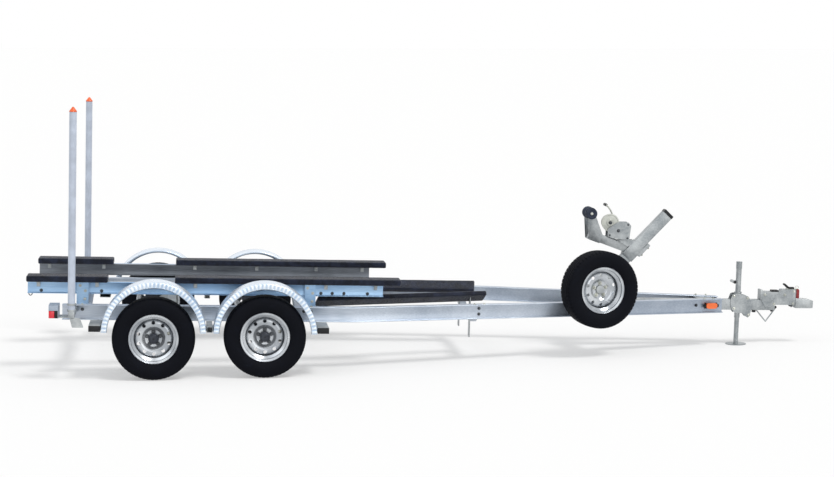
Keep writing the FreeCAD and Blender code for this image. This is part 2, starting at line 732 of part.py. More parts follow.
def railBracket(place, across):
    """An upright plate from a cross member to the rail above it."""
    top = s.beamTop - s.flangeThick - s.plateThick
    return block(place - s.bracketWide / 2, place + s.bracketWide / 2, railMiddle - across / 2,
                 railMiddle + across / 2, top - s.crossDrop, railBottom)


def bracketOn(member, place, across):
    return railBracket(place, across).cut(member)


rearMember = crossMember(s.rearCross, s.crossWide)
frontMember = crossMember(s.frontCross, s.crossWide)


def topPart(shape):
    """The part of a cut bracket that lies above its cross member."""
    return max(shape.Solids, key=lambda solid: solid.CenterOfMass.z)


keep("rail_brackets", Part.makeCompound([
    pair(topPart(bracketOn(rearMember, s.rearCross, s.bracketThick))),
    pair(topPart(bracketOn(frontMember, s.frontCross, s.bracketThick)))]))


def bunkLeg(place, thick):
    """An upright from the front cross member to the low bunk above it."""
    rear, front = lowBunkLine()
    share = (place - rear.x) / (front.x - rear.x)
    spot = rear + (front - rear) * share
    leg = block(place - thick / 2, place + thick / 2, spot.y - s.bracketWide / 2, spot.y + s.bracketWide / 2,
                s.legReach, spot.z + s.lowBunkThick)
    return min(leg.cut(lowBunkLeft).Solids, key=lambda solid: solid.CenterOfMass.z)


bowFace = s.bowCross - s.bowCrossWide / 2
keep("low_bunk_legs", pair(bunkLeg(bowFace - s.bracketThick / 2, s.bracketThick)))


# Guide posts on arms behind the rear wheels, with the tail lamps

armHigh = s.beamTop - s.armDrop
armLow = armHigh - s.armTube
lampFront = s.lampRear + s.lampDeep + s.lampHouseDeep


def rearArm():
    half = s.armTube / 2
    tube = block(s.postPlace - half, s.postPlace + half, s.beamSpread - webInset, s.postOut + s.postRadius,
                 armLow, armHigh)
    peg = Part.makeCylinder(s.postRadius - s.postWall - s.pegGap, s.pegLength, V(s.postPlace, s.postOut, armHigh))
    lampIn = s.lampOuter - s.lampWide
    guard = block(s.lampRear, lampFront + s.tabThick, lampIn, s.lampOuter, s.lampTop, s.lampTop + s.tabThick)
    back = block(lampFront, lampFront + s.tabThick, lampIn, s.lampOuter, s.lampTop - s.lampTall, s.lampTop)
    link = block(lampFront + s.tabThick, s.postPlace - half, lampIn, s.lampOuter, armLow, armLow + s.tabThick)
    return fused([tube, peg, guard, back, link])


keep("rear_arms", pair(rearArm()))


def guidePost():
    pipe = Part.makeCylinder(s.postRadius, s.postTop - armHigh, V(s.postPlace, s.postOut, armHigh))
    bore = Part.makeCylinder(s.postRadius - s.postWall, s.postTop - armHigh, V(s.postPlace, s.postOut, armHigh))
    return pipe.cut(bore)


keep("guide_posts", pair(guidePost()))
keep("guide_post_caps", pair(Part.makeCone(s.postRadius * 1.1, s.postRadius * 0.1, s.postCapTall,
                                           V(s.postPlace, s.postOut, s.postTop))))

lampIn = s.lampOuter - s.lampWide
keep("tail_lamp_housings", pair(block(s.lampRear + s.lampDeep, lampFront, lampIn, s.lampOuter,
                                      s.lampTop - s.lampTall, s.lampTop)))
keep("tail_lamp_lenses", pair(block(s.lampRear, s.lampRear + s.lampDeep, lampIn, s.lampOuter,
                                    s.lampTop - s.lampTall, s.lampTop)))


def markerLamp():
    """An amber lamp on the outer side of the beam's web."""
    webOut = beamOuter(s.markerPlace) - webInset / math.cos(math.radians(s.beamSlope))
    middle = (s.beamTop + beamBottom) / 2
    half = s.markerTall / 2
    straight = s.markerLong / 2 - half
    body = block(-straight, straight, 0, s.markerDeep, -half, half)
    ends = [Part.makeCylinder(half, s.markerDeep, V(x, 0, 0), AXIS_Y) for x in (-straight, straight)]
    lamp = fused([body] + ends)
    lamp.rotate(V(0, 0, 0), AXIS_Z, -s.beamSlope)
    lamp.translate(V(s.markerPlace, webOut, middle))
    return lamp


keep("marker_lamps", pair(markerLamp()))


# Spare wheel on the right hand beam

spareTurn = 180 + s.beamSlope
beamNormal = V(math.sin(math.radians(s.beamSlope)), math.cos(math.radians(s.beamSlope)), 0)
spareFace = V(s.sparePlace, beamOuter(s.sparePlace), s.spareHeight)
spareMiddle = spareFace + beamNormal * s.spareOut
sparePlace = chassisPlace.multiply(FreeCAD.Placement(V(spareMiddle.x, -spareMiddle.y, spareMiddle.z),
                                                     FreeCAD.Rotation(AXIS_Z, spareTurn)))
keep("spare_tyre", tyreShape.copy(), sparePlace)
keep("spare_wheel", rimShape.copy(), sparePlace)


def spareCarrier():
    """A post on the beam's top, with a disc that the spare's mounting face bolts to."""
    half = s.carrierTube / 2
    low = s.beamTop
    high = s.spareHeight + half
    stem = block(-half, half, -s.flangeWide / 2 - half, -s.flangeWide / 2 + half, low, high)
    arm = block(-half, half, -s.flangeWide / 2 + half, s.spareOut - s.hubFlangeThick, s.spareHeight - half, high)
    disc = Part.makeCylinder(s.hubFlangeRadius, s.hubFlangeThick,
                             V(0, s.spareOut - s.hubFlangeThick, s.spareHeight), AXIS_Y)
    nose = Part.makeCylinder(s.hubNoseRadius, s.hubNoseLength / 2, V(0, s.spareOut, s.spareHeight), AXIS_Y)
    shape = fused([stem, arm, disc, nose])
    shape.rotate(V(0, 0, 0), AXIS_Z, -s.beamSlope)
    shape.translate(V(spareFace.x, spareFace.y, 0))
    return mirrored(shape)


keep("spare_carrier", spareCarrier())


# Winch stand: a leaning square tube, with a clamped arm for the winch and bow roller

standLow = tubeHigh + s.plateThick
standAlong = V(math.cos(math.radians(s.standAngle)), 0, math.sin(math.radians(s.standAngle)))


def leaning(shape):
    """Moves a shape drawn along +X from the stand's foot onto the leaning stand."""
    shape.rotate(V(0, 0, 0), AXIS_Y, -s.standAngle)
    shape.translate(V(s.standFoot, 0, standLow))
    return shape


def standPost():
    start = -s.standLength / 4
    tube = squareTube(start, s.standLength, -s.standWide / 2, s.standWide / 2, -s.standDeep / 2,
                      s.standDeep / 2, s.standWall)
    tube = leaning(tube)
    floor = block(s.standFoot - s.standLength, s.standFoot + s.standLength, -s.track, s.track,
                  standLow - s.standLength, standLow + s.plateThick)
    foot = block(s.standFoot - s.standDeep, s.standFoot + s.standDeep, -s.standWide, s.standWide,
                 standLow, standLow + s.plateThick)
    return tube.cut(floor).fuse(foot).removeSplitter()


keep("winch_stand", standPost())
standCap = leaning(block(s.standLength, s.standLength + s.capThick, -s.standWide / 2, s.standWide / 2,
                         -s.standDeep / 2, s.standDeep / 2))
keep("black_caps", Part.makeCompound([pair(outriggerCap(-outerStub, s.stubWide)),
                                      pair(outriggerCap(outerStub, s.stubWide)), standCap]))


def standClamp():
    """A sleeve round the stand."""
    rear = s.clampAlong - s.clampLong / 2
    front = s.clampAlong + s.clampLong / 2
    wide = s.standWide / 2 + s.clampWall
    deep = s.standDeep / 2 + s.clampWall
    return leaning(block(rear, front, -wide, wide, -deep, deep).cut(
        block(rear - s.overrun, front + s.overrun, -s.standWide / 2, s.standWide / 2,
              -s.standDeep / 2, s.standDeep / 2)))


clampMiddle = V(s.standFoot, 0, standLow) + standAlong * s.clampAlong
strutBack = V(-math.cos(math.radians(s.strutAngle)), 0, math.sin(math.radians(s.strutAngle)))
strutUp = V(math.sin(math.radians(s.strutAngle)), 0, math.cos(math.radians(s.strutAngle)))


def strut():
    """The arm from the clamp rearward, cut to the clamp's face."""
    arm = block(-s.strutLength, 0, -s.strutWide / 2, s.strutWide / 2, -s.strutTall / 2, s.strutTall / 2)
    arm.rotate(V(0, 0, 0), AXIS_Y, s.strutAngle)
    arm.translate(clampMiddle)
    sleeve = leaning(block(0, s.standLength, -s.standWide, s.standWide, -s.standDeep / 2 - s.clampWall,
                           s.standDeep / 2 + s.clampWall))
    return arm.cut(sleeve)


armPiece = strut()
keep("winch_clamp", standClamp())
keep("winch_arm", armPiece)

earOut = s.rollerWide / 2 + s.earGap
rollerMiddle = V(s.rollerPlace, 0, s.rollerHeight)


def bowBracket():
    """Two side plates from the arm's end up to the bow roller's pin."""
    armEnd = clampMiddle + strutBack * s.strutLength
    low = armEnd - strutUp * s.strutTall / 2
    front = armEnd - strutBack * s.strutTall * 1.4 - strutUp * s.strutTall / 2
    frontHigh = front + strutUp * s.strutTall
    outline = [(low.x, low.z), (front.x, front.z), (frontHigh.x, frontHigh.z),
               (rollerMiddle.x + s.rollerWaist, rollerMiddle.z), (rollerMiddle.x - s.rollerWaist, rollerMiddle.z)]
    plates = []
    for sign in (-1, 1):
        edges = sorted((sign * earOut, sign * (earOut + s.earThick)))
        ear = sidePlate(outline, edges[0], edges[1])
        boss = Part.makeCylinder(s.rollerWaist, s.earThick, V(rollerMiddle.x, edges[0], rollerMiddle.z), AXIS_Y)
        plates += [ear, boss]
    base = block(-s.strutTall * 1.4, 0, -earOut, earOut, -s.earThick, 0)
    base.rotate(V(0, 0, 0), AXIS_Y, s.strutAngle)
    base.translate(armEnd - strutBack * 0 - strutUp * s.strutTall / 2)
    base.translate(strutBack * (-s.strutTall * 1.4))
    pin = Part.makeCylinder(s.rollerPin, (earOut + s.earThick) * 2, V(rollerMiddle.x, -earOut - s.earThick,
                                                                     rollerMiddle.z), AXIS_Y)
    return fused(plates + [base, pin])


keep("bow_bracket", bowBracket())


def bowRoller():
    half = s.rollerWide / 2
    bore = s.rollerPin + s.rollerGap
    roller = turned([(bore, -half), (s.rollerRadius, -half), (s.rollerRadius, -half * 0.6),
                     (s.rollerWaist, 0), (s.rollerRadius, half * 0.6), (s.rollerRadius, half), (bore, half)])
    roller.translate(rollerMiddle)
    return roller


keep("bow_roller", bowRoller())

# Winch: a frame on the arm, a drum with its large gear, and a crank shaft

drumMiddle = V(s.winchPlace, 0, s.winchHeight)
crankMiddle = drumMiddle - strutBack * s.crankAhead - strutUp * s.crankAhead * 0.45
drumHalf = s.drumLength / 2
frameIn = drumHalf + s.winchPlate * 2


def winchFrame():
    """Side plates on a base that lies on the arm, with the drum's pin between them."""
    seat = clampMiddle + strutUp * s.strutTall / 2
    along = (drumMiddle - seat).dot(strutBack)
    rear = seat + strutBack * (along + s.drumRadius)
    front = seat + strutBack * (along - s.crankAhead - s.drumRadius)
    rise = strutUp * ((drumMiddle - seat).dot(strutUp) + s.drumRadius * 0.6)
    crankRise = strutUp * ((crankMiddle - seat).dot(strutUp) + s.drumRadius)
    outline = [rear, front, front + crankRise, crankMiddle + strutBack * 0 + strutUp * s.drumRadius,
               drumMiddle + strutUp * s.drumRadius, rear + rise]
    solids = []
    for sign in (-1, 1):
        edges = sorted((sign * frameIn, sign * (frameIn + s.winchPlate)))
        side = sidePlate([(point.x, point.z) for point in outline], edges[0], edges[1])
        hole = Part.makeCylinder(s.crankShaft + s.rollerGap, s.gearThick, V(crankMiddle.x, edges[0] - s.winchPlate / 2,
                                                                    crankMiddle.z), AXIS_Y)
        solids.append(side.cut(hole))
    base = sidePlate([(point.x, point.z) for point in (rear, front, front + strutUp * s.winchPlate,
                                                       rear + strutUp * s.winchPlate)], -frameIn, frameIn)
    pin = Part.makeCylinder(s.drumPin, frameIn * 2, V(drumMiddle.x, -frameIn, drumMiddle.z), AXIS_Y)
    return fused(solids + [base, pin])


keep("winch_frame", winchFrame())


def winchDrum():
    bore = s.drumPin + s.rollerGap
    wall = s.winchPlate
    drum = turned([(bore, -drumHalf - wall), (s.drumFlange, -drumHalf - wall), (s.drumFlange, -drumHalf),
                   (s.drumRadius, -drumHalf), (s.drumRadius, drumHalf), (s.drumFlange, drumHalf),
                   (s.drumFlange, drumHalf + wall), (bore, drumHalf + wall)])
    drum.translate(drumMiddle)
    return drum


keep("winch_drum", winchDrum())


def winchCrank():
    """The crank shaft through the frame, its arm and grip on the left."""
    out = earOut + s.earThick + s.crankShaft * 2
    shaft = rod(V(crankMiddle.x, -frameIn - s.winchPlate * 3, crankMiddle.z), V(crankMiddle.x, out + s.gearThick, crankMiddle.z),
                s.crankShaft)
    reach = V(-0.45, 0, 0.89).normalize() * s.crankReach
    lever = rod(V(crankMiddle.x, out + s.gearThick / 2, crankMiddle.z),
                V(crankMiddle.x, out + s.gearThick / 2, crankMiddle.z) + reach, s.crankShaft)
    tip = V(crankMiddle.x, out + s.gearThick / 2, crankMiddle.z) + reach
    grip = rod(tip, tip + AXIS_Y * s.gripLength, s.gripRadius)
    return fused([shaft, lever, grip])


keep("winch_crank", winchCrank())


# Jack

def jackTube():
    tube = Part.makeCylinder(s.jackRadius, s.jackTop - s.jackBottom, V(s.jackPlace, 0, s.jackBottom))
    bore = Part.makeCylinder(s.jackRadius - s.jackWall, s.jackTop - s.jackBottom - s.jackWall,
                             V(s.jackPlace, 0, s.jackBottom))
    return tube.cut(bore)


def footLevel():
    """Height of the ground below the jack, measured in the level chassis."""
    reach = s.jackPlace
    return s.tyreRadius * (1 - 1 / math.cos(lean)) + reach * math.tan(lean)


def jackLeg():
    """The inner tube, with a foot plate that lies flat on the ground."""
    ground = footLevel()
    leg = Part.makeCylinder(s.legRadius, s.legTop - ground - s.footThick / 2,
                            V(s.jackPlace, 0, ground + s.footThick / 2))
    foot = Part.makeCylinder(s.footRadius, s.footThick)
    foot.rotate(V(0, 0, 0), AXIS_Y, -s.noseDown)
    foot.translate(V(s.jackPlace, 0, ground))
    return leg.fuse(foot).removeSplitter()


keep("jack_tube", jackTube())
keep("jack_leg", jackLeg())


def jackBracket():
    """Cheek plates on the tongue tube, joined by a top and a bottom plate round the jack."""
    half = s.jackPlateLong / 2
    solids = []
    for sign in (-1, 1):
        edges = sorted((sign * halfTongue, sign * (halfTongue + s.tabThick)))
        solids.append(block(s.jackPlace - half, s.jackPlace + half, edges[0], edges[1], s.jackPlateLow,
                            s.jackPlateLow + s.jackPlateTall))
    out = halfTongue + s.tabThick
    solids.append(block(s.jackPlace - half, s.jackPlace + half, -out, out,
                        tubeHigh, tubeHigh + s.tabThick))
    hole = Part.makeCylinder(s.jackRadius, s.jackTop, V(s.jackPlace, 0, 0))
    return fused(solids).cut(hole)


tongue = document.getObject("tongue_tube")
tongue.Shape = squareTube(s.tongueRear, s.tongueFront, -halfTongue, halfTongue, tubeLow, tubeHigh,
                          s.tongueWall).cut(Part.makeCylinder(s.jackRadius, s.jackTop, V(s.jackPlace, 0, 0)))
tongue.Placement = chassisPlace
keep("jack_bracket", jackBracket())
keep("jack_handle", fused([
    rod(V(s.jackPlace - s.jackRadius, 0, s.handleHeight), V(s.jackPlace - s.jackRadius * 2.4, 0, s.handleHeight),
        s.crankShaft),
    rod(V(s.jackPlace - s.jackRadius * 2.4, -s.gripLength, s.handleHeight),
        V(s.jackPlace - s.jackRadius * 2.4, s.gripLength / 4, s.handleHeight), s.gripRadius)]))


# Surge actuator: a case over a sliding tube, with the ball coupler at its nose

def actuatorCase():
    half = halfTongue + s.caseWall
    wall = s.caseWall
    length = s.caseFront - s.caseRear
    outline = [(s.caseRear, s.caseBottom), (s.caseRear, s.caseTop - length / 8),
               (s.caseRear + length / 5, s.caseTop),
               (s.caseFront, s.caseTop), (s.caseFront, s.caseBottom), (s.caseRear + length * 0.6, s.caseBottom)]
    whole = sidePlate(outline, -half, half)
    inside = block(s.caseRear - s.overrun, s.caseFront - wall * 4, -half + wall, half - wall,
                   s.caseBottom - s.overrun, s.caseTop - length / 8 - wall)
    return whole.cut(inside)


def couplerNose():
    """The ball socket at the front of the case."""
    half = s.noseRadius
    body = block(s.caseFront, s.noseFront - half, -half, half, s.noseBottom, s.noseTop)
    front = Part.makeCylinder(half, s.noseTop - s.noseBottom, V(s.noseFront - half, 0, s.noseBottom))
    socket = Part.makeCylinder(s.ballRadius, (s.noseTop - s.noseBottom) / 2 + s.overrun,
                               V(s.noseFront - half, 0, s.noseBottom - s.overrun))
    dome = Part.makeSphere(s.ballRadius, V(s.noseFront - half, 0, (s.noseTop + s.noseBottom) / 2))
    return fused([body, front]).cut(socket.fuse(dome))


keep("surge_case", actuatorCase())
keep("ball_coupler", couplerNose())
keep("coupler_latch", fused([
    block(s.caseFront - s.plateLength / 2, s.caseFront, -s.gripRadius, s.gripRadius, s.caseTop,
          s.caseTop + s.gripRadius),
    rod(V(s.caseFront - s.gripRadius, 0, s.caseTop + s.crankShaft),
        V(s.caseFront + s.gripRadius * 2, 0, s.caseTop + s.crankShaft), s.crankShaft)]))


def chainKeeper():
    rear = V(s.keeperRear, 0, tubeLow)
    front = V(s.keeperFront, 0, s.caseBottom)
    low = V((s.keeperRear + s.keeperFront) / 2, 0, tubeLow - s.keeperDrop)
    return fused([rod(rear, low, s.keeperRod), rod(low, front, s.keeperRod), Part.makeSphere(s.keeperRod, low)])


keep("chain_keeper", chainKeeper().cut(block(0, s.tongueFront, -halfTongue, halfTongue, tubeLow, tubeHigh)))

# Every sub-part is checked before anything is written.

document.recompute()
for item in document.Objects:
    if "Invalid" in item.State or "Error" in item.State:
        raise RuntimeError("failed object: " + item.Label)
for item in nodes:
    if item.Shape.isNull() or not item.Shape.isValid():
        raise RuntimeError("bad shape: " + item.Label)

os.makedirs("parts", exist_ok=True)
for item in nodes:
    item.Shape.exportStep("parts/%s.step" % item.Label)
print("sub-parts written:", len(nodes))
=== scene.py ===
import json
import math

import bmesh
import bpy
import numpy as np
from mathutils import Matrix, Vector, noise


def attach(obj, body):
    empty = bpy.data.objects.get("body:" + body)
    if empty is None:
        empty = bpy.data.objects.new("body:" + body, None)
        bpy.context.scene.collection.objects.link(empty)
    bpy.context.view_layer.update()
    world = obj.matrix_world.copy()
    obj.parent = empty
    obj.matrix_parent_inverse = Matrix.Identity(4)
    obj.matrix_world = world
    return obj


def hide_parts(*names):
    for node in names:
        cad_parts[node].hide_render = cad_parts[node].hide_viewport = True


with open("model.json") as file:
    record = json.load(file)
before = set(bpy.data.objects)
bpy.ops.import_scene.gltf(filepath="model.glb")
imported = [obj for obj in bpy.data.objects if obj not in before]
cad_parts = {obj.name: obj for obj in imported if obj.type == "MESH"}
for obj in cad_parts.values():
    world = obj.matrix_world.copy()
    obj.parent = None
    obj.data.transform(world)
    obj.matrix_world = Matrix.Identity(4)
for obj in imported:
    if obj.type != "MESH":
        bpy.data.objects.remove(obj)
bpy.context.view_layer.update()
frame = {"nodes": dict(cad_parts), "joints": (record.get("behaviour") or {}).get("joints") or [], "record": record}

# Tandem axle boat trailer on its jack, on a pale floor. Everything is in metres.

joints = {joint["name"]: joint for joint in frame["joints"]}
slots = {part["node"]: part["material_slot"] for part in frame["record"]["subparts"]}

# The chassis leans nose down about the axles. Most places are easier to give in the level chassis:
# X forward from midway between the axles, Y to the left, Z up from the ground.
wheelNames = ("rear_left", "rear_right", "front_left", "front_right")
wheelSpots = {name: Vector(joints["spin_" + name]["pos_m"]) for name in wheelNames}
axleHeight = wheelSpots["rear_left"].z
axleMiddle = sum(wheelSpots.values(), Vector()) / 4
down = Vector(joints["jack_extend"]["axis"])
leanAngle = math.atan2(-down.x, -down.z)
stance = (Matrix.Translation(axleMiddle) @ Matrix.Rotation(leanAngle, 4, "Y")
          @ Matrix.Translation((0, 0, -axleHeight)))
levelled = stance.inverted()
print("lean of the chassis:", round(math.degrees(leanAngle), 2))


def spotsOf(node, wanted=lambda spot: True):    # a node's corners in the level chassis
    spots = [levelled @ vertex.co for vertex in frame["nodes"][node].data.vertices]
    return [spot for spot in spots if wanted(spot)]


def levelBox(node, wanted=lambda spot: True):
    spots = np.array(spotsOf(node, wanted))
    return Vector(spots.min(0)), Vector(spots.max(0))


def onSide(side):       # picks the corners on the left, 1, or on the right, -1
    return lambda spot: spot.y * side > 0


def axesOf(spots):      # middle, directions and sizes of a straight piece, longest first
    spots = np.array(spots)
    middle = (spots.max(0) + spots.min(0)) / 2
    directions = np.linalg.svd(spots - spots.mean(0), full_matrices=False)[2]
    reach = (spots - middle) @ directions.T
    centre = middle + ((reach.max(0) + reach.min(0)) / 2) @ directions
    return Vector(centre), [Vector(row) for row in directions], reach.max(0) - reach.min(0)


def upright(x, y, z):       # stands a shape that is turned about Y on end
    return stance @ Matrix.Translation((x, y, z)) @ Matrix.Rotation(math.pi / 2, 4, "X")


def aboutJoint(name):
    return Matrix.Translation(joints[name]["pos_m"])


# Camera

camera = {"place": (-2.1649, -16.4864, 2.8238), "yaw": 0.1220, "pitch": 0.1082, "roll": 0.0012,
          "focalPixels": 1849.11, "frameWidth": 834, "sensor": 36, "farthest": 500}


def makeCamera():
    yaw, pitch, roll = camera["yaw"], camera["pitch"], camera["roll"]
    forward = Vector((math.sin(yaw) * math.cos(pitch), math.cos(yaw) * math.cos(pitch), -math.sin(pitch)))
    side = Vector((math.cos(yaw), -math.sin(yaw), 0))
    above = side.cross(forward)
    right = side * math.cos(roll) + above * math.sin(roll)
    top = above * math.cos(roll) - side * math.sin(roll)
    data = bpy.data.cameras.new("camera")
    data.sensor_width = camera["sensor"]
    data.lens = camera["focalPixels"] * camera["sensor"] / camera["frameWidth"]
    data.clip_end = camera["farthest"]
    taker = bpy.data.objects.new("camera", data)
    bpy.context.scene.collection.objects.link(taker)
    turn = Matrix((right, top, -forward)).transposed().to_4x4()
    taker.matrix_world = Matrix.Translation(camera["place"]) @ turn
    bpy.context.scene.camera = taker


makeCamera()
bpy.context.scene.view_settings.view_transform = "Standard"
print("camera set")


# Node trees. A Signal is one socket, and sums of signals add their own Math nodes.

class Signal:
    def __init__(self, graph, socket):
        self.graph = graph
        self.socket = socket

    def math(self, operation, other=None, clamp=False):
        values = {0: self} if other is None else {0: self, 1: other}
        return self.graph.node("ShaderNodeMath", {"operation": operation, "use_clamp": clamp}, values)

    def __add__(self, other):
        return self.math("ADD", other)

    def __mul__(self, other):
        return self.math("MULTIPLY", other)

    def __sub__(self, other):
        return self.math("SUBTRACT", other)

    def __rsub__(self, other):
        return self.math("MULTIPLY", -1) + other

    __radd__ = __add__
    __rmul__ = __mul__

    def over(self, low, high):      # 0 below low and 1 above high, smooth between
        return self.graph.node("ShaderNodeMapRange", {"interpolation_type": "SMOOTHSTEP"},
                               {"Value": self, "From Min": low, "From Max": high})

    def clamped(self):
        return self.math("ADD", 0, clamp=True)


class Graph:
    def __init__(self, tree):
        self.tree = tree
        tree.nodes.clear()

    def node(self, kind, settings=None, sockets=None, out=0):
        made = self.tree.nodes.new(kind)
        for key, value in (settings or {}).items():
            setattr(made, key, value)
        for key, value in (sockets or {}).items():
            for each in value if isinstance(value, list) else [value]:
                if isinstance(each, Signal):
                    self.tree.links.new(each.socket, made.inputs[key])
                else:
                    made.inputs[key].default_value = each
        return Signal(self, made.outputs[out]) if made.outputs else None


def shade(red, green, blue):     # a colour given as it looks on a screen, from 0 to 255
    def linear(value):
        value /= 255
        return value / 12.92 if value <= 0.04045 else ((value + 0.055) / 1.055) ** 2.4
    return (linear(red), linear(green), linear(blue), 1)


def scaled(colour, share):
    return tuple(min(value * share, 1) for value in colour[:3]) + (1,)


class Finish(Graph):
    def __init__(self, name):
        self.material = bpy.data.materials.new(name)
        self.material.use_nodes = True
        super().__init__(self.material.node_tree)

    def place(self, scale=(1, 1, 1)):
        spot = self.node("ShaderNodeTexCoord", out="Object")
        return self.node("ShaderNodeMapping", {}, {"Vector": spot, "Scale": scale})

    def noise(self, spot, scale, detail=3, rough=0.55):
        return self.node("ShaderNodeTexNoise", {}, {"Vector": spot, "Scale": scale, "Detail": detail,
                                                    "Roughness": rough}, "Fac")

    def cells(self, spot, scale, out="Color"):
        return self.node("ShaderNodeTexVoronoi", {}, {"Vector": spot, "Scale": scale}, out)

    def grey(self, colour):
        return self.node("ShaderNodeSeparateColor", {}, {"Color": colour}, 0)

    def blend(self, share, first, second):
        return self.node("ShaderNodeMix", {"data_type": "RGBA"}, {0: share, 6: first, 7: second}, 2)

    def bump(self, height, strength, distance):
        return self.node("ShaderNodeBump", {}, {"Height": height, "Strength": strength, "Distance": distance})

    def surface(self, **values):
        names = {"colour": "Base Color", "rough": "Roughness", "metal": "Metallic", "normal": "Normal",
                 "coat": "Coat Weight", "coatRough": "Coat Roughness", "sheen": "Sheen Weight",
                 "sheenRough": "Sheen Roughness", "glow": "Emission Color",
                 "glowStrength": "Emission Strength", "specular": "Specular IOR Level"}
        sockets = {names[key]: value for key, value in values.items()}
        shader = self.node("ShaderNodeBsdfPrincipled", {}, sockets)
        self.node("ShaderNodeOutputMaterial", {}, {"Surface": shader})
        return self.material


# Floor and light

stage = {"floorSize": 1600, "floorColour": (0.8, 0.8, 0.8, 1), "whiteShare": 0.38, "floorDrop": 0.0006,
         "worldStrength": 0.62, "white": (1, 1, 1, 1)}
lamps = {"sunLight": {"from": (0.5, -0.55, 1.25), "strength": 1.75, "angle": 0.3, "colour": (1, 0.99, 0.97)},
         "skyLight": {"from": (-0.7, -0.4, 1.0), "strength": 0.55, "angle": 0.9, "colour": (0.92, 0.96, 1)},
         "lowLight": {"from": (0.25, -1.0, 0.12), "strength": 0.35, "angle": 0.6, "colour": (1, 1, 1)}}


def seenDirectly(graph):      # 1 for what the camera, a mirror or glass sees
    seen = graph.node("ShaderNodeLightPath", out="Is Camera Ray")
    rays = seen.socket.node.outputs
    for name in ("Is Glossy Ray", "Is Transmission Ray"):
        seen = seen.math("MAXIMUM", Signal(graph, rays[name]))
    return seen


def makeFloor():
    half = stage["floorSize"] / 2
    mesh = bpy.data.meshes.new("floor")
    corners = [(-half, -half), (half, -half), (half, half), (-half, half)]
    mesh.from_pydata([(x, y, -stage["floorDrop"]) for x, y in corners], [], [(0, 1, 2, 3)])
    floor = bpy.data.objects.new("floor", mesh)
    bpy.context.scene.collection.objects.link(floor)
    paint = Finish("studioFloor")
    matt = paint.node("ShaderNodeBsdfDiffuse", {}, {"Color": stage["floorColour"]})
    white = paint.node("ShaderNodeEmission", {}, {"Color": stage["white"], "Strength": 1})
    share = seenDirectly(paint) * stage["whiteShare"]
    mixed = paint.node("ShaderNodeMixShader", {}, {0: share, 1: matt, 2: white})
    paint.node("ShaderNodeOutputMaterial", {}, {"Surface": mixed})
    mesh.materials.append(paint.material)


def makeWorld():
    world = bpy.data.worlds.new("studio")
    bpy.context.scene.world = world
    world.use_nodes = True
    paint = Graph(world.node_tree)
    strength = seenDirectly(paint) * (1 - stage["worldStrength"]) + stage["worldStrength"]
    sky = paint.node("ShaderNodeBackground", {}, {"Color": stage["white"], "Strength": strength})
    paint.node("ShaderNodeOutputWorld", {}, {"Surface": sky})


def makeLamp(name):
    values = lamps[name]
    data = bpy.data.lights.new(name, "SUN")
    data.energy = values["strength"]
    data.angle = values["angle"]
    data.color = values["colour"]
    lamp = bpy.data.objects.new(name, data)
    bpy.context.scene.collection.objects.link(lamp)
    lamp.matrix_world = Vector(values["from"]).to_track_quat("Z", "Y").to_matrix().to_4x4()


makeFloor()
makeWorld()
for lampName in lamps:
    makeLamp(lampName)
print("floor and light set")


# Finishes

def galvanised(name, light, dark, spangle=60, rough=0.42, mottle=0.45, relief=0.3, octaves=5):
    paint = Finish(name)
    spot = paint.place()
    flakes = paint.grey(paint.cells(spot, spangle))
    cloud = paint.noise(spot, 6, octaves)
    share = (flakes * mottle + cloud.over(0.3, 0.7) * (1 - mottle)).clamped()
    grain = paint.noise(spot, 420, 2)
    return paint.surface(colour=paint.blend(share, dark, light), metal=0.7,
                         rough=flakes * (mottle * 0.35) + (cloud * 0.2 + (rough - 0.12)),
                         normal=paint.bump(grain * 0.4 + flakes * (mottle * 0.6), relief, 0.0004))


rolled = {"along": (1, 26, 26), "outerFace": 0.6325, "edge": 0.001, "rough": 0.22}


def rolledAluminium(name, light, dark, inner=None):     # inner: dark and light painted on the inner sides as shade
    paint = Finish(name)
    spot = paint.place()
    lines = paint.noise(paint.place(rolled["along"]), 9, 5, 0.6)
    cloud = paint.noise(spot, 2.1, 3)
    share = (lines.over(0.3, 0.72) * 0.45 + cloud.over(0.3, 0.7) * 0.55).clamped()
    colour = paint.blend(share, dark, light)
    # Faces inside the outer face get the inner pair of colours, a painted shade.
    if inner:
        across = paint.node("ShaderNodeSeparateXYZ", {}, {"Vector": spot}, "Y").math("ABSOLUTE")
        outside = across.over(rolled["outerFace"] - rolled["edge"], rolled["outerFace"] + rolled["edge"])
        colour = paint.blend(outside, paint.blend(share, *inner), colour)
    return paint.surface(colour=colour, rough=lines * 0.12 + (cloud * 0.12 + rolled["rough"]), metal=0.68,
                         normal=paint.bump(lines, 0.2, 0.0005))


def fenderSheet(name, light, dark):     # painted highlight on the crest of each crimp, with painted shade and a pale blue painted reflection in its valleys
    paint = Finish(name)
    spot = paint.place()
    crest = paint.node("ShaderNodeAttribute", {"attribute_name": "crest"}, {}, "Fac")
    cloud = paint.noise(spot, 5, 4)
    share = (crest * 0.8 + cloud.over(0.3, 0.7) * 0.3).clamped()
    return paint.surface(colour=paint.blend(share, dark, light), rough=cloud * 0.14 + 0.18, metal=0.6,
                         normal=paint.bump(paint.noise(spot, 60, 3), 0.08, 0.0005))


def plainPlastic(name, colour, rough, coat=0.0):
    paint = Finish(name)
    spot = paint.place()
    cloud = paint.noise(spot, 9, 3)
    shared = paint.blend(cloud.over(0.3, 0.75), scaled(colour, 0.8), colour)
    return paint.surface(colour=shared, coat=coat, rough=cloud * 0.14 + (rough - 0.07), specular=0.3,
                         normal=paint.bump(paint.noise(spot, 700, 2), 0.3, 0.0003))


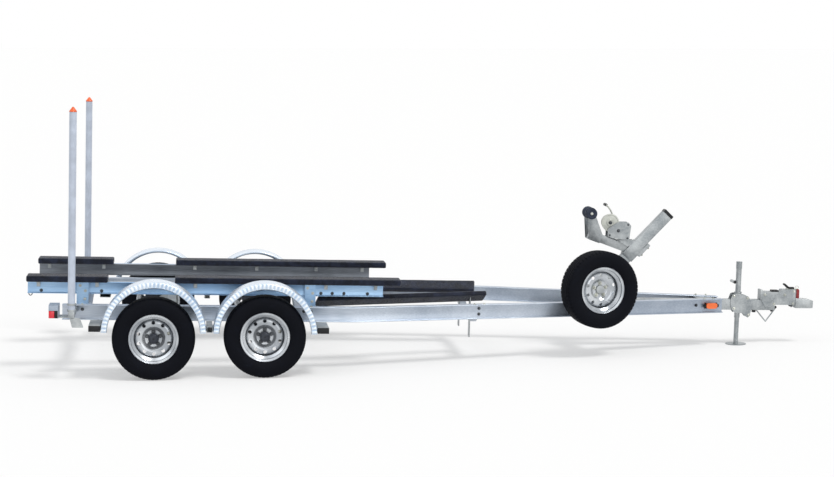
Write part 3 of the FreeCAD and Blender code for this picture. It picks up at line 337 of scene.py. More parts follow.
def rubber(name, colour, rough=0.7):
    paint = Finish(name)
    spot = paint.place()
    cloud = paint.noise(spot, 14, 4)
    shared = paint.blend(cloud.over(0.45, 0.9), colour, scaled(colour, 1.8))
    return paint.surface(colour=shared, rough=cloud * 0.2 + (rough - 0.1), specular=0.09,
                         normal=paint.bump(paint.noise(spot, 900, 2), 0.4, 0.0004))


def carpet(name, colour, tip):
    paint = Finish(name)
    spot = paint.place()
    tufts = paint.cells(spot, 380, "Distance")
    cloud = paint.noise(spot, 13, 5, 0.7)
    weave = paint.noise(spot, 900, 3)
    share = (cloud.over(0.35, 0.75) * 0.75 + weave * 0.35 - 0.08).clamped()
    return paint.surface(colour=paint.blend(share, colour, tip), rough=0.95, sheen=0.3, sheenRough=0.5,
                         normal=paint.bump(tufts * 1.2 + weave, 0.9, 0.0022), specular=0.1)


def lens(name, colour, bands="Z"):
    paint = Finish(name)
    spot = paint.place()
    ribs = paint.node("ShaderNodeTexWave", {"wave_type": "BANDS", "bands_direction": bands},
                      {"Vector": spot, "Scale": 60}, "Fac")
    shared = paint.blend(paint.noise(spot, 30, 2), scaled(colour, 0.65), colour)
    # The lens gets a faint painted glow of its own colour, with no lamp lit inside it.
    return paint.surface(colour=shared, rough=0.18, coat=0.6, coatRough=0.08, glow=colour, glowStrength=0.2,
                         normal=paint.bump(ribs, 0.4, 0.0006))


finishes = {
    "galvanised_steel": galvanised("hotDipGalvanised", shade(186, 190, 191), shade(126, 132, 136), 90, 0.4,
                                   0.3),
    "galvanised_wheel": galvanised("galvanisedWheel", shade(202, 206, 210), shade(158, 163, 169), 70, 0.24,
                                   0.08, 0.04, 1),
    "mill_aluminium": rolledAluminium("millAluminium", shade(198, 206, 216), shade(146, 158, 174)),
    "fender_aluminium": fenderSheet("fenderSheet", shade(234, 241, 248), shade(164, 187, 213)),
    "zinc_plate": galvanised("zincPlate", shade(206, 208, 200), shade(158, 161, 156), 160, 0.34, 0.2),
    # The hub cap is painted near black, a painted shade of the wheel's recessed centre.
    "bright_hub": galvanised("hubZinc", shade(66, 70, 78), shade(36, 39, 46), 120, 0.4, 0.3, 0.15),
    "tyre_rubber": rubber("tyreRubber", shade(8, 10, 17)),
    "black_rubber": rubber("rollerRubber", shade(50, 56, 68), 0.55),
    "black_plastic": plainPlastic("blackPlastic", shade(24, 25, 28), 0.42),
    "grey_pipe": plainPlastic("pipePlastic", shade(188, 197, 212), 0.3),
    "orange_plastic": plainPlastic("orangeCap", shade(230, 96, 36), 0.36, 0.3),
    "red_lens": lens("redLens", shade(206, 20, 40)),
    "amber_lens": lens("amberLens", shade(232, 104, 34), "X"),
    "bunk_carpet": carpet("bunkCarpet", shade(11, 14, 24), shade(42, 50, 72)),
}
# The rails' outer faces carry a pale blue painted sky reflection, and their inner sides a grey painted shade.
railSkyAndShadePaint = rolledAluminium("railAluminium", shade(176, 206, 232), shade(128, 164, 202),
                            (shade(88, 93, 100), shade(132, 138, 146)))
darkBolt = galvanised("darkBolt", shade(104, 108, 112), shade(58, 60, 64), 200, 0.4)
redPaint = plainPlastic("redPaint", shade(146, 46, 48), 0.4, 0.2)

special = {"bunk_rails": railSkyAndShadePaint, "rail_brackets": railSkyAndShadePaint}
for nodeName, node in frame["nodes"].items():
    node.data.materials.clear()
    node.data.materials.append(special.get(nodeName, finishes[slots[nodeName]]))
print("finishes on", len(slots), "nodes")


# Ways of making meshes

weldDistance = 0.00002


def softened(points, radius, steps=4):      # rounds the corners of an open outline
    spots = [Vector(point) for point in points]
    line = [spots[0]]
    for before, corner, after in zip(spots, spots[1:], spots[2:]):
        back = min(radius, (corner - before).length / 2)
        ahead = min(radius, (after - corner).length / 2)
        start = corner + (before - corner).normalized() * back
        end = corner + (after - corner).normalized() * ahead
        for step in range(steps + 1):
            share = step / steps
            line.append(start.lerp(corner, share).lerp(corner.lerp(end, share), share))
    return line + [spots[-1]]


def profile(points, radius, steps=4):       # the same for (radius, y) of a turned shape
    return [(spot.x, spot.y) for spot in softened([(reach, y, 0) for reach, y in points], radius, steps)]


def mirroredEnds(points):       # a half outline of (radius, y), carried on to its other side
    return points + [(radius, -y) for radius, y in points[::-1]]


def merged(mesh):
    work = bmesh.new()
    work.from_mesh(mesh)
    bmesh.ops.remove_doubles(work, verts=work.verts, dist=weldDistance)
    return work


def bevel(work, width, least):      # softens the edges that turn by more than the least angle
    edges = [edge for edge in work.edges if len(edge.link_faces) == 2 and edge.calc_face_angle() > least]
    bmesh.ops.bevel(work, geom=edges, offset=width, segments=2, profile=0.5, affect="EDGES",
                    clamp_overlap=True)
    bmesh.ops.triangulate(work, faces=[face for face in work.faces if len(face.verts) > 4])


def addPiece(name, mesh, body, slot, replaced=(), material=None, sharp=34):
    piece = bpy.data.objects.new(name, mesh)
    bpy.context.scene.collection.objects.link(piece)
    if not mesh.materials:
        mesh.materials.append(material or finishes[slot])
    mesh.polygons.foreach_set("use_smooth", [True] * len(mesh.polygons))
    mesh.set_sharp_from_angle(angle=math.radians(sharp))
    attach(piece, body)
    if replaced:
        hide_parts(*replaced)


class Shell:        # gathers points and faces for one piece
    def __init__(self, name):
        self.name = name
        self.points = []
        self.faces = []

    def grid(self, rows, around=False, along=False):      # rows of points, joined by four sided faces
        first = len(self.points)
        wide = len(rows[0])
        for row in rows:
            self.points.extend(row)
        for row in range(len(rows) if along else len(rows) - 1):
            for column in range(wide if around else wide - 1):
                here = first + row * wide
                there = first + (row + 1) % len(rows) * wide
                after = (column + 1) % wide
                self.faces.append((here + column, here + after, there + after, there + column))

    def cap(self, row):
        first = len(self.points)
        self.points.extend(row)
        self.faces.append(tuple(range(first, first + len(row))))

    def tube(self, rows):       # rings of points, closed at both ends
        self.grid(rows, around=True)
        self.cap(rows[0][::-1])
        self.cap(rows[-1])

    def turned(self, outline, frameOf, columns=96, closed=False):      # (radius, y) turned about Y
        rows = []
        for column in range(columns):
            angle = math.tau * column / columns
            rows.append([frameOf @ Vector((radius * math.cos(angle), y, radius * math.sin(angle)))
                         for radius, y in outline])
        self.grid(rows, around=closed, along=True)

    def rod(self, path, radius, sides=12):      # a round bar along a path in the level chassis
        path = [stance @ Vector(point) for point in path]
        rows = []
        side = None
        for place, point in enumerate(path):
            ahead = (path[min(place + 1, len(path) - 1)] - path[max(place - 1, 0)]).normalized()
            side = ahead.orthogonal() if side is None else side
            side = (side - ahead * side.dot(ahead)).normalized()
            other = ahead.cross(side)
            rows.append([point + (side * math.cos(angle) + other * math.sin(angle)) * radius
                         for angle in (math.tau * step / sides for step in range(sides))])
        self.tube(rows)

    def box(self, low, high, edge=0.001, frameOf=stance):      # a block with chamfered edges
        rows = []
        for z, inset in ((low[2], edge), (low[2] + edge, 0), (high[2] - edge, 0), (high[2], edge)):
            left, right, near, far = low[0] + inset, high[0] - inset, low[1] + inset, high[1] - inset
            ring = [(left + edge, near), (right - edge, near), (right, near + edge), (right, far - edge),
                    (right - edge, far), (left + edge, far), (left, far - edge), (left, near + edge)]
            rows.append([frameOf @ Vector((x, y, z)) for x, y in ring])
        self.tube(rows)

    def plate(self, outline, near, far):      # an outline in X and Z, given its thickness along Y
        rows = [[stance @ Vector((x, y, z)) for x, z in outline] for y in (near, far)]
        self.grid(rows, around=True)
        self.cap(rows[0])
        self.cap(rows[1][::-1])

    def plates(self, outline, near, far):       # one on the left and its mirror on the right
        self.plate(outline, near, far)
        self.plate(outline, -far, -near)

    def mesh(self, rounded=0):
        mesh = bpy.data.meshes.new(self.name)
        mesh.from_pydata(self.points, [], self.faces)
        work = merged(mesh)
        if rounded:
            bevel(work, rounded, 0.3)
        bmesh.ops.recalc_face_normals(work, faces=work.faces)
        work.to_mesh(mesh)
        work.free()
        return mesh

    def add(self, slot="galvanised_steel", body="chassis", replaced=(), rounded=0, **others):
        addPiece(self.name, self.mesh(rounded), body, slot, replaced, **others)


class Pattern(Graph):       # a geometry node tree with named inputs, grown on a seed mesh
    def __init__(self, name, inputs):
        super().__init__(bpy.data.node_groups.new(name, "GeometryNodeTree"))
        face = self.tree.interface
        face.new_socket("Geometry", in_out="INPUT", socket_type="NodeSocketGeometry")
        inputs = dict(inputs, Material="NodeSocketMaterial")
        self.keys = {label: face.new_socket(label, in_out="INPUT", socket_type=kind).identifier
                     for label, kind in inputs.items()}
        face.new_socket("Geometry", in_out="OUTPUT", socket_type="NodeSocketGeometry")
        self.entry = self.tree.nodes.new("NodeGroupInput")

    def given(self, label):
        return Signal(self, self.entry.outputs[label])

    def close(self, geometry):
        real = self.node("GeometryNodeRealizeInstances", {}, {"Geometry": geometry})
        painted = self.node("GeometryNodeSetMaterial", {},
                            {"Geometry": real, "Material": self.given("Material")})
        self.node("NodeGroupOutput", {}, {"Geometry": painted})

    def grown(self, seed, **values):        # a plain mesh of what the tree makes
        carrier = bpy.data.objects.new("seed", seed)
        bpy.context.scene.collection.objects.link(carrier)
        modifier = carrier.modifiers.new("pattern", "NODES")
        modifier.node_group = self.tree
        for label, value in values.items():
            modifier[self.keys[label]] = value
        bpy.context.view_layer.update()
        result = carrier.evaluated_get(bpy.context.evaluated_depsgraph_get())
        mesh = bpy.data.meshes.new_from_object(result)
        bpy.data.objects.remove(carrier)
        return mesh


# Rolled and extruded pieces get softly rounded edges in place of the plain CAD ones.

rounding = {"beam_left": 0.0022, "beam_right": 0.0022, "bunk_rails": 0.002, "cross_member_rear": 0.0025,
            "cross_member_front": 0.0025, "cross_member_bow": 0.0025, "tongue_tube": 0.003,
            "tongue_plates": 0.0012, "fender_outriggers": 0.0018, "rail_brackets": 0.0014,
            "rear_arms": 0.0012, "winch_stand": 0.0022, "winch_clamp": 0.003, "winch_arm": 0.0022,
            "coupler_latch": 0.0025, "ball_coupler": 0.004, "spare_carrier": 0.0022, "black_caps": 0.003,
            "bow_bracket": 0.0018, "low_bunk_legs": 0.0014, "fender_brackets": 0.0014,
            "brake_calipers": 0.003, "tail_lamp_housings": 0.003, "tail_lamp_lenses": 0.004,
            "axle_front": 0.002, "axle_rear": 0.002}
noseSlope = {"start": 5.5, "above": 0.54, "fall": 0.28}


def slopeNose(mesh):       # the coupler's top falls toward its front
    for vertex in mesh.vertices:
        spot = levelled @ vertex.co
        if spot.x > noseSlope["start"] and spot.z > noseSlope["above"]:
            spot.z -= (spot.x - noseSlope["start"]) * noseSlope["fall"]
            vertex.co = stance @ spot


def roundEdges(node, width):
    mesh = frame["nodes"][node].data.copy()
    mesh.name = node + "_rounded"
    if node == "ball_coupler":
        slopeNose(mesh)
    work = merged(mesh)
    bmesh.ops.dissolve_limit(work, angle_limit=math.radians(0.5), verts=work.verts, edges=work.edges)
    bevel(work, width, 0.6)
    work.to_mesh(mesh)
    work.free()
    addPiece("rounded_" + node, mesh, "chassis", slots[node], (node,))


for nodeName, edgeWidth in rounding.items():
    roundEdges(nodeName, edgeWidth)
print("edges rounded on", len(rounding), "nodes")


# Carpeted bunks

board = {"edge": 0.013, "leastEdge": 0.002, "cornerSteps": 5, "between": (0.5, 0, -0.5), "endRound": 0.012,
         "endSteps": 4, "spacing": 0.03, "unevenness": 0.0016, "unevenScale": 7, "fineShare": 4,
         "wave": (0.55, 0.5, 0.4), "meetAt": -0.6}


def boardRing(halfWide, halfThick, corner):     # once round a board, with spots across its two wide sides
    line = []
    for number, (y, z) in enumerate(((1, 1), (-1, 1), (-1, -1), (1, -1))):
        for step in range(board["cornerSteps"] + 1):
            angle = math.pi / 2 * (number + step / board["cornerSteps"])
            line.append(((halfWide - corner) * y + corner * math.cos(angle),
                         (halfThick - corner) * z + corner * math.sin(angle)))
        if number % 2 == 0:
            line += [((halfWide - corner) * y * part, halfThick * z) for part in board["between"]]
    return line


def boardStations(length):      # places along a board and how far it shrinks there
    stations = []
    for step in range(board["endSteps"] + 1):
        angle = math.pi / 2 * step / board["endSteps"]
        place = length / 2 - board["endRound"] * (1 - math.sin(angle))
        shrink = board["endRound"] * (1 - math.cos(angle))
        stations += [(-place, shrink), (place, shrink)]
    straight = length - board["endRound"] * 2
    inner = int(straight / board["spacing"])
    stations += [(straight * (step / inner - 0.5), 0) for step in range(1, inner)]
    return sorted(stations)


def carpetedBoard(shell, spots, seed):
    centre, (along, across, up), (length, wide, thick) = axesOf(spots)
    along = along if along.x > 0 else -along
    up = up if up.z > 0 else -up
    across = up.cross(along)
    scale = board["unevenScale"]
    plain, waving, rippling = board["wave"]
    rows = []
    for place, shrink in boardStations(length):
        row = []
        corner = max(board["edge"] - shrink, board["leastEdge"])
        for y, z in boardRing(wide / 2 - shrink, thick / 2 - shrink, corner):
            local = centre + along * place + across * y + up * z
            wave = noise.noise(local * scale + Vector((seed, 0, 0)))
            ripple = noise.noise(local * scale * board["fineShare"] + Vector((0, seed, 0)))
            inward = (across * y * thick / wide + up * z).normalized()
            local -= inward * board["unevenness"] * (plain + waving * wave + rippling * ripple)
            row.append(stance @ local)
        rows.append(row)
    shell.tube(rows)


def makeBunks():
    flats, lows = Shell("bunk_boards"), Shell("low_bunk_boards")
    for side in (-1, 1):
        for rear in (-1, 1):
            spots = [spot for spot in spotsOf("bunks_upper", onSide(side))
                     if (spot.x - board["meetAt"]) * rear > 0]
            carpetedBoard(flats, spots, side * 3 + rear)
        carpetedBoard(lows, spotsOf("bunks_low", onSide(side)), side * 7)
    flats.add("bunk_carpet", replaced=("bunks_upper",), sharp=60)
    lows.add("bunk_carpet", replaced=("bunks_low",), sharp=60)


makeBunks()
print("bunks carpeted")


# Tyres, drawn as (radius, y)

tyre = {"wall": ((0.1908, 0.058), (0.1908, 0.0712), (0.2085, 0.0712), (0.222, 0.0845), (0.252, 0.0985),
                 (0.281, 0.1015), (0.312, 0.0965), (0.331, 0.0875), (0.3406, 0.075)),
        "wallRound": 0.012, "inside": ((0.222, -0.066), (0.281, -0.0895), (0.3256, -0.06)),
        "crown": 0.3436, "crownDrop": 0.003, "shoulder": 0.075, "grooves": (0.0445, 0.0155),
        "grooveWide": 0.0075, "grooveDeep": 0.0075, "grooveFloor": 0.7, "grooveLip": 0.001,
        "pitches": 60, "plainShares": (0, 0.27, 0.53, 0.8), "notchShares": (0.82, 0.98), "notchDeep": 0.006,
        "notchFrom": 0.052, "notchTo": 0.088, "notchAbove": 0.325,
        "ribRadii": (0.226, 0.3), "ribHigh": 0.0012, "ribHalf": 0.0035}


def tyreOutline(notched):       # half of the outside, from the bead to the middle of the tread
    line = []
    for radius, y in profile(tyre["wall"], tyre["wallRound"], 3):
        onRib = any(abs(radius - rib) < tyre["ribHalf"] for rib in tyre["ribRadii"])
        line.append((radius, y + tyre["ribHigh"] * onRib))
    half, floor, lip = tyre["grooveWide"] / 2, tyre["grooveFloor"], tyre["grooveLip"]

    def crownAt(y):
        return tyre["crown"] - tyre["crownDrop"] * (y / tyre["shoulder"]) ** 2

    for groove in tyre["grooves"]:
        for shift, deep in ((half + lip, 0), (half * floor, 1), (-half * floor, 1), (-half - lip, 0)):
            line.append((crownAt(groove + shift) - tyre["grooveDeep"] * deep, groove + shift))
    line.append((crownAt(0), 0.0))
    if notched:
        line = [(radius - tyre["notchDeep"] * (tyre["notchFrom"] < y < tyre["notchTo"]
                                               and radius > tyre["notchAbove"]), y) for radius, y in line]
    return line


def wheelFrame(spot, outward):      # from a wheel drawn with its outer side towards +Y
    outward = Vector(outward).normalized()
    above = Vector((0, 0, 1))
    above = (above - outward * above.dot(outward)).normalized()
    return Matrix.Translation(spot) @ Matrix((outward.cross(above), outward, above)).transposed().to_4x4()


def makeTyre(name, frameOf, body, node):
    plain, notched = (mirroredEnds(tyreOutline(flag)) for flag in (False, True))
    inside = mirroredEnds(list(tyre["inside"]))
    stations = [(share, plain + inside) for share in tyre["plainShares"]]
    stations += [(share, notched + inside) for share in tyre["notchShares"]]
    rows = []
    for number in range(tyre["pitches"]):
        for share, outline in stations:
            angle = math.tau / tyre["pitches"] * (number + share)
            turn = Vector((math.cos(angle), 0, math.sin(angle)))
            rows.append([frameOf @ (turn * radius + Vector((0, y, 0))) for radius, y in outline])
    shell = Shell(name)
    shell.grid(rows, around=True, along=True)
    shell.add("tyre_rubber", body, (node,), sharp=40)


# Wheels: a rolled rim, a pressed disc with round holes, a valve and, on the road wheels, caps

wheel = {"holes": 10, "holeCircle": 0.131, "holeRadius": 0.015, "holeLip": 0.0012,
         "lipDrops": (0.006, 0.0015), "patchIn": 0.110, "patchOut": 0.152, "patchSteps": 12, "patchRings": 4,
         "discRadii": (0.042, 0.062, 0.072, 0.084, 0.098, 0.112, 0.131, 0.146, 0.156, 0.163),
         "discHeights": (0.0050, 0.0050, 0.0062, 0.0160, 0.0262, 0.0300, 0.0308, 0.0262, 0.0120, -0.0060),
         "rim": ((0.1625, 0.0), (0.1625, 0.036), (0.187, 0.051), (0.187, 0.0715), (0.2035, 0.0722),
                 (0.2045, 0.0795), (0.2065, 0.0785), (0.2065, 0.0715), (0.1902, 0.0715), (0.1902, 0.0495),
                 (0.1658, 0.034), (0.1658, 0.0)),
         "rimRound": 0.0035, "rimRadius": 0.1625, "bore": 0.0425, "boreBack": -0.002}
valve = {"outline": ((0, 0.034), (0.0045, 0.034), (0.005, 0.022), (0.006, 0.004), (0.006, -0.004)),
         "turn": -58, "place": (0.1655, 0.004, 0)}
hubCap = {"outline": ((0.0447, 0.0032), (0.0447, 0.0442), (0.0327, 0.0447), (0.0327, 0.0647),
                      (0.0287, 0.0677), (0.0167, 0.0677)),
          "plug": ((0, 0.0681), (0.007, 0.0681), (0.009, 0.0667), (0.0155, 0.0667), (0.0165, 0.0637))}


def discHeight(radius):     # how far the pressed disc stands out, over its radius
    return float(np.interp(radius, wheel["discRadii"], wheel["discHeights"]))


def holedRing(shell, frameOf):       # the ring of the disc that carries the round holes
    sector = math.tau / wheel["holes"]
    steps = wheel["patchSteps"]
    low, high = wheel["patchIn"], wheel["patchOut"]
    middle = Vector((wheel["holeCircle"], 0))
    edge = [(high, -0.5 + step / steps) for step in range(steps)]
    edge += [(high - (high - low) * step / steps, 0.5) for step in range(steps)]
    edge += [(low, 0.5 - step / steps) for step in range(steps)]
    edge += [(low + (high - low) * step / steps, -0.5) for step in range(steps)]
    for number in range(wheel["holes"]):
        turn = math.pi / 2 + sector * number
        rows = []
        for radius, share in edge:
            far = Vector((radius * math.cos(share * sector), radius * math.sin(share * sector)))
            near = middle + (far - middle).normalized() * wheel["holeRadius"]
            row = [(middle + (near - middle) * (1 - drop * 2), -drop) for drop in wheel["lipDrops"]]
            for ring in range(wheel["patchRings"] + 1):
                row.append((near.lerp(far, ring / wheel["patchRings"]), 0 if ring else wheel["holeLip"]))
            line = []
            for point, rise in row:
                angle = math.atan2(point.y, point.x) + turn
                reach = point.length
                line.append(frameOf @ Vector((reach * math.cos(angle), discHeight(reach) + rise,
                                              reach * math.sin(angle))))
            rows.append(line)
        shell.grid(rows, along=True)


def makeWheel(name, frameOf, body, node):
    shell = Shell(name)
    columns = wheel["holes"] * wheel["patchSteps"]
    shell.turned(mirroredEnds(profile(wheel["rim"], wheel["rimRound"], 3)), frameOf, columns, closed=True)
    outer = [(radius, discHeight(radius)) for radius in np.linspace(wheel["patchOut"], wheel["rimRadius"], 6)]
    inner = [(radius, discHeight(radius)) for radius in np.linspace(wheel["bore"], wheel["patchIn"], 16)]
    shell.turned(outer, frameOf, columns)
    shell.turned([(wheel["bore"], wheel["boreBack"])] + inner, frameOf, columns)
    holedRing(shell, frameOf)
    shell.add("galvanised_wheel", body, (node,), sharp=38)
    stem = Shell(name + "_valve")
    turn = Matrix.Rotation(math.radians(valve["turn"]), 4, "Y")
    stem.turned(valve["outline"], frameOf @ turn @ Matrix.Translation(valve["place"]), 16)
    stem.add("black_rubber", body, material=finishes["black_plastic"])


def makeHub(name, frameOf, body):
    shell = Shell(name + "_cap")
    shell.turned(profile(hubCap["outline"], 0.002, 3), frameOf, 64)
    shell.add("bright_hub", body, sharp=30)
    plug = Shell(name + "_plug")
    plug.turned(profile(hubCap["plug"], 0.001, 3), frameOf, 48)
    plug.add("black_rubber", body, material=finishes["black_plastic"])


# Bolts, nuts and washers, one pattern for all. A layer's foot and height are shares of the head's height.

hexHead = {"washer": (0, 0.22), "body": (0.2, 0.72), "crown": (0.92, 0.16), "stud": (0.9, 0.5),
           "crownTop": 0.78, "washerShare": 1.5, "studShare": 0.5}
headSizes = {"lugs": (0.012, 0.0185), "rail_bolts": (0.0095, 0.012), "web_bolts": (0.0095, 0.011),
             "flange_bolts": (0.0095, 0.009), "jack_bolts": (0.0095, 0.009), "clamp_bolts": (0.0095, 0.009),
             "outrigger_bolts": (0.0085, 0.009), "case_bolts": (0.0085, 0.009),
             "rail_plate_bolts": (0.0085, 0.008), "fender_bolts": (0.006, 0.004),
             "bunk_clip_bolts": (0.0055, 0.006), "winch_bolts": (0.0065, 0.006),
             "winch_axle_nuts": (0.0105, 0.01), "crank_nut": (0.0105, 0.009),
             "case_low_bolts": (0.011, 0.016)}      # radius and height
darkSteel = {"slot": "galvanised_steel", "material": darkBolt}


def boltPattern():
    pattern = Pattern("hexHeads", {"Head Radius": "NodeSocketFloat", "Head Height": "NodeSocketFloat",
                                   "Washer Share": "NodeSocketFloat", "Stud Share": "NodeSocketFloat"})
    radius, height = pattern.given("Head Radius"), pattern.given("Head Height")

    def disc(layer, sides, wide, top=None):
        foot, tall = hexHead[layer]
        sockets = {"Vertices": sides, "Radius Bottom": wide, "Radius Top": top or wide,
                   "Depth": height * tall}
        drawn = pattern.node("GeometryNodeMeshCone", {}, sockets)
        lift = pattern.node("ShaderNodeCombineXYZ", {}, {"Z": height * foot})
        return pattern.node("GeometryNodeTransform", {}, {"Geometry": drawn, "Translation": lift})

    layers = [disc("washer", 24, radius * pattern.given("Washer Share")), disc("body", 6, radius),
              disc("crown", 6, radius, radius * hexHead["crownTop"]),
              disc("stud", 16, radius * pattern.given("Stud Share"))]
    head = pattern.node("GeometryNodeJoinGeometry", {}, {"Geometry": layers})
    points = pattern.node("GeometryNodeMeshToPoints", {}, {"Mesh": pattern.given("Geometry")})
    aim = pattern.node("GeometryNodeInputNamedAttribute", {"data_type": "FLOAT_VECTOR"}, {"Name": "aim"})
    spin = pattern.node("FunctionNodeRandomValue", {"data_type": "FLOAT"}, {"Max": math.tau, "Seed": 5},
                        "Value")
    twist = pattern.node("FunctionNodeAxisAngleToRotation", {}, {"Axis": (0, 0, 1), "Angle": spin})
    facing = pattern.node("FunctionNodeAlignRotationToVector", {"axis": "Z"}, {"Vector": aim})
    turned = pattern.node("FunctionNodeRotateRotation", {"rotation_space": "LOCAL"},
                          {"Rotation": facing, "Rotate By": twist})
    placed = pattern.node("GeometryNodeInstanceOnPoints", {},
                          {"Points": points, "Instance": head, "Rotation": turned})
    pattern.close(placed)
    return pattern


hexHeads = boltPattern()


def addBolts(name, places, body="chassis", slot="zinc_plate", material=None, size=None):
    seed = bpy.data.meshes.new("places")
    seed.from_pydata([stance @ Vector(spot) for spot, aim in places], [], [])
    aims = [(stance.to_3x3() @ Vector(aim)).normalized() for spot, aim in places]
    seed.attributes.new("aim", "FLOAT_VECTOR", "POINT").data.foreach_set(
        "vector", [value for aim in aims for value in aim])
    radius, height = headSizes[size or name]
    values = {"Head Radius": radius, "Head Height": height, "Washer Share": hexHead["washerShare"],
              "Stud Share": hexHead["studShare"]}
    addPiece(name, hexHeads.grown(seed, Material=material or finishes[slot], **values), body, slot)


lugNut = {"count": 5, "circle": 0.05715, "seat": 0.0052}


def addLugs(name, frameOf, **others):
    aim = levelled.to_3x3() @ (frameOf.to_3x3() @ Vector((0, 1, 0)))
    circle = lugNut["circle"]
    places = []
    for number in range(lugNut["count"]):
        angle = math.pi / 2 + math.tau * number / lugNut["count"]
        spot = Vector((math.cos(angle) * circle, lugNut["seat"], math.sin(angle) * circle))
        places.append((levelled @ (frameOf @ spot), aim))
    addBolts(name, places, size="lugs", **others)


def makeWheels():
    for name in wheelNames:
        frameOf = wheelFrame(wheelSpots[name], (0, 1 if "left" in name else -1, 0))
        body = "road_wheel_" + name
        makeTyre("tread_" + name, frameOf, body, "tyre_" + name)
        makeWheel("rim_" + name, frameOf, body, "wheel_" + name)
        makeHub("hub_" + name, frameOf, body)
        addLugs("lugs_" + name, frameOf, body=body, material=darkBolt)
    centre, directions = axesOf(spotsOf("spare_tyre"))[:2]
    outward = directions[2] if directions[2].y < 0 else -directions[2]
    frameOf = wheelFrame(stance @ centre, stance.to_3x3() @ outward)
    makeTyre("tread_spare", frameOf, "chassis", "spare_tyre")
    makeWheel("rim_spare", frameOf, "chassis", "spare_wheel")
    addLugs("lugs_spare", frameOf)


makeWheels()
print("wheels and tyres made")


# Fenders: rolled sheet with a crimped side band and a rolled edge

fender = {"radius": 0.4296, "skirt": 0.046, "bead": 0.0042, "beadSteps": 8, "beadLean": 0.6, "beadOut": 1.6,
          "sheet": 0.003, "corner": 0.007, "lip": 0.014, "lipInset": 0.0005, "lipNear": 0.002, "foot": 0.012,
          "crimps": 38, "crimpRise": 0.0042, "crimpPower": 1.6, "columnsPerCrimp": 10, "plainCrest": 0.55,
          "bandShares": (0.3, 0.45, 0.6, 0.75, 0.88), "fadeFrom": 0.003, "fadeOuter": 0.012,
          "fadeInner": 0.008, "faceNear": 0.001, "sheetNear": 0.004}


def ramp(value, reach):
    return min(max(value / reach, 0), 1)


def fenderSection(inner, face):     # (radius, y) from the inner lip over the crown to the rolled edge
    radius, bead = fender["radius"], fender["bead"]
    band = radius - fender["skirt"]
    flat = [(radius - fender["lip"], inner + fender["lipInset"]), (radius, inner + fender["lipInset"]),
            (radius, face), (band + bead, face)]
    line = profile(flat, fender["corner"], 5)
    line[-1:-1] = [(radius - share * (fender["skirt"] - bead), face) for share in fender["bandShares"]]
    for step in range(fender["beadSteps"] + 1):
        angle = math.pi / 2 + math.pi * 1.5 * step / fender["beadSteps"]
        out = fender["beadOut"] * max(math.sin(angle - fender["beadLean"]), 0)
        line.append((band + bead * math.sin(angle), face - bead + bead * out))
    return line


def makeFender(node, side):
    low, high = levelBox(node)
    inner, outer = sorted((abs(low.y), abs(high.y)))
    radius, sheet, near = fender["radius"], fender["sheet"], fender["sheetNear"]
    face = outer - fender["crimpRise"]
    edge = radius - fender["skirt"] + fender["bead"]
    centre = Vector(((low.x + high.x) / 2, 0, high.z - radius))
    line = fenderSection(inner, face)
    foot = math.asin(fender["foot"] / radius)
    count = fender["crimps"] * fender["columnsPerCrimp"]
    rows = []
    for column in range(count + 1):
        angle = foot + (math.pi - foot * 2) * column / count
        wave = 0.5 - 0.5 * math.cos(math.tau * column / fender["columnsPerCrimp"])
        pleat = fender["crimpRise"] * wave ** fender["crimpPower"]
        row, back = [], []
        for reach, y in line:
            fade = ramp(radius - fender["fadeFrom"] - reach, fender["fadeOuter"])
            fade *= ramp(reach - edge, fender["fadeInner"])
            across = y + pleat * fade * (y > face - fender["faceNear"])
            under = sheet * (y < face - near and reach > radius - fender["lip"])
            behind = sheet * ((y < inner + fender["lipNear"]) - (y > face - near))
            for target, size, out in ((row, reach, across), (back, reach - under, across + behind)):
                spot = Vector((math.cos(angle) * size, out * side, math.sin(angle) * size))
                target.append(stance @ (centre + spot))
        rows.append(row + back[::-1])
    shell = Shell("crimped_" + node)
    shell.tube(rows)
    mesh = shell.mesh()
    # A share of painted light for each crimp: 1 on its crest as painted highlight, 0 in its valley as painted
    # shade, a middle share on the plain sheet.
    crimpLights = []
    for vertex in mesh.vertices:
        local = levelled @ vertex.co - centre
        turn = (math.atan2(local.z, local.x) - foot) / (math.pi - foot * 2)
        onBand = abs(local.y) > face - near and math.hypot(local.x, local.z) > edge
        crimpLights.append(0.5 - 0.5 * math.cos(math.tau * fender["crimps"] * turn) if onBand
                      else fender["plainCrest"])
    mesh.attributes.new("crest", "FLOAT", "POINT").data.foreach_set("value", crimpLights)
    addPiece(shell.name, mesh, "chassis", "fender_aluminium", (node,), sharp=50)


for wheelName in wheelNames:
    makeFender("fender_" + wheelName, 1 if "left" in wheelName else -1)
print("fenders crimped")


# Guide post caps

postCap = {"rim": 0.0325, "rimTall": 0.006, "tip": 0.005, "tall": 0.0415, "shoulderWide": 0.015,
           "shoulderTall": 0.02905, "rounding": 0.004}


def makePostCaps():
    shell = Shell("post_cap_cones")
    for side in (-1, 1):
        low, high = levelBox("guide_post_caps", onSide(side))
        frameOf = upright((low.x + high.x) / 2, (low.y + high.y) / 2, low.z)
        line = [(0, 0), (postCap["rim"], 0), (postCap["rim"], postCap["rimTall"]),
                (postCap["shoulderWide"], postCap["shoulderTall"]), (postCap["tip"], postCap["tall"]),
                (0, postCap["tall"])]
        shell.turned(profile(line, postCap["rounding"]), frameOf, 48)
    shell.add("orange_plastic", replaced=("guide_post_caps",))


makePostCaps()
print("post caps made")


# Fasteners over the frame, given on the left side and mirrored

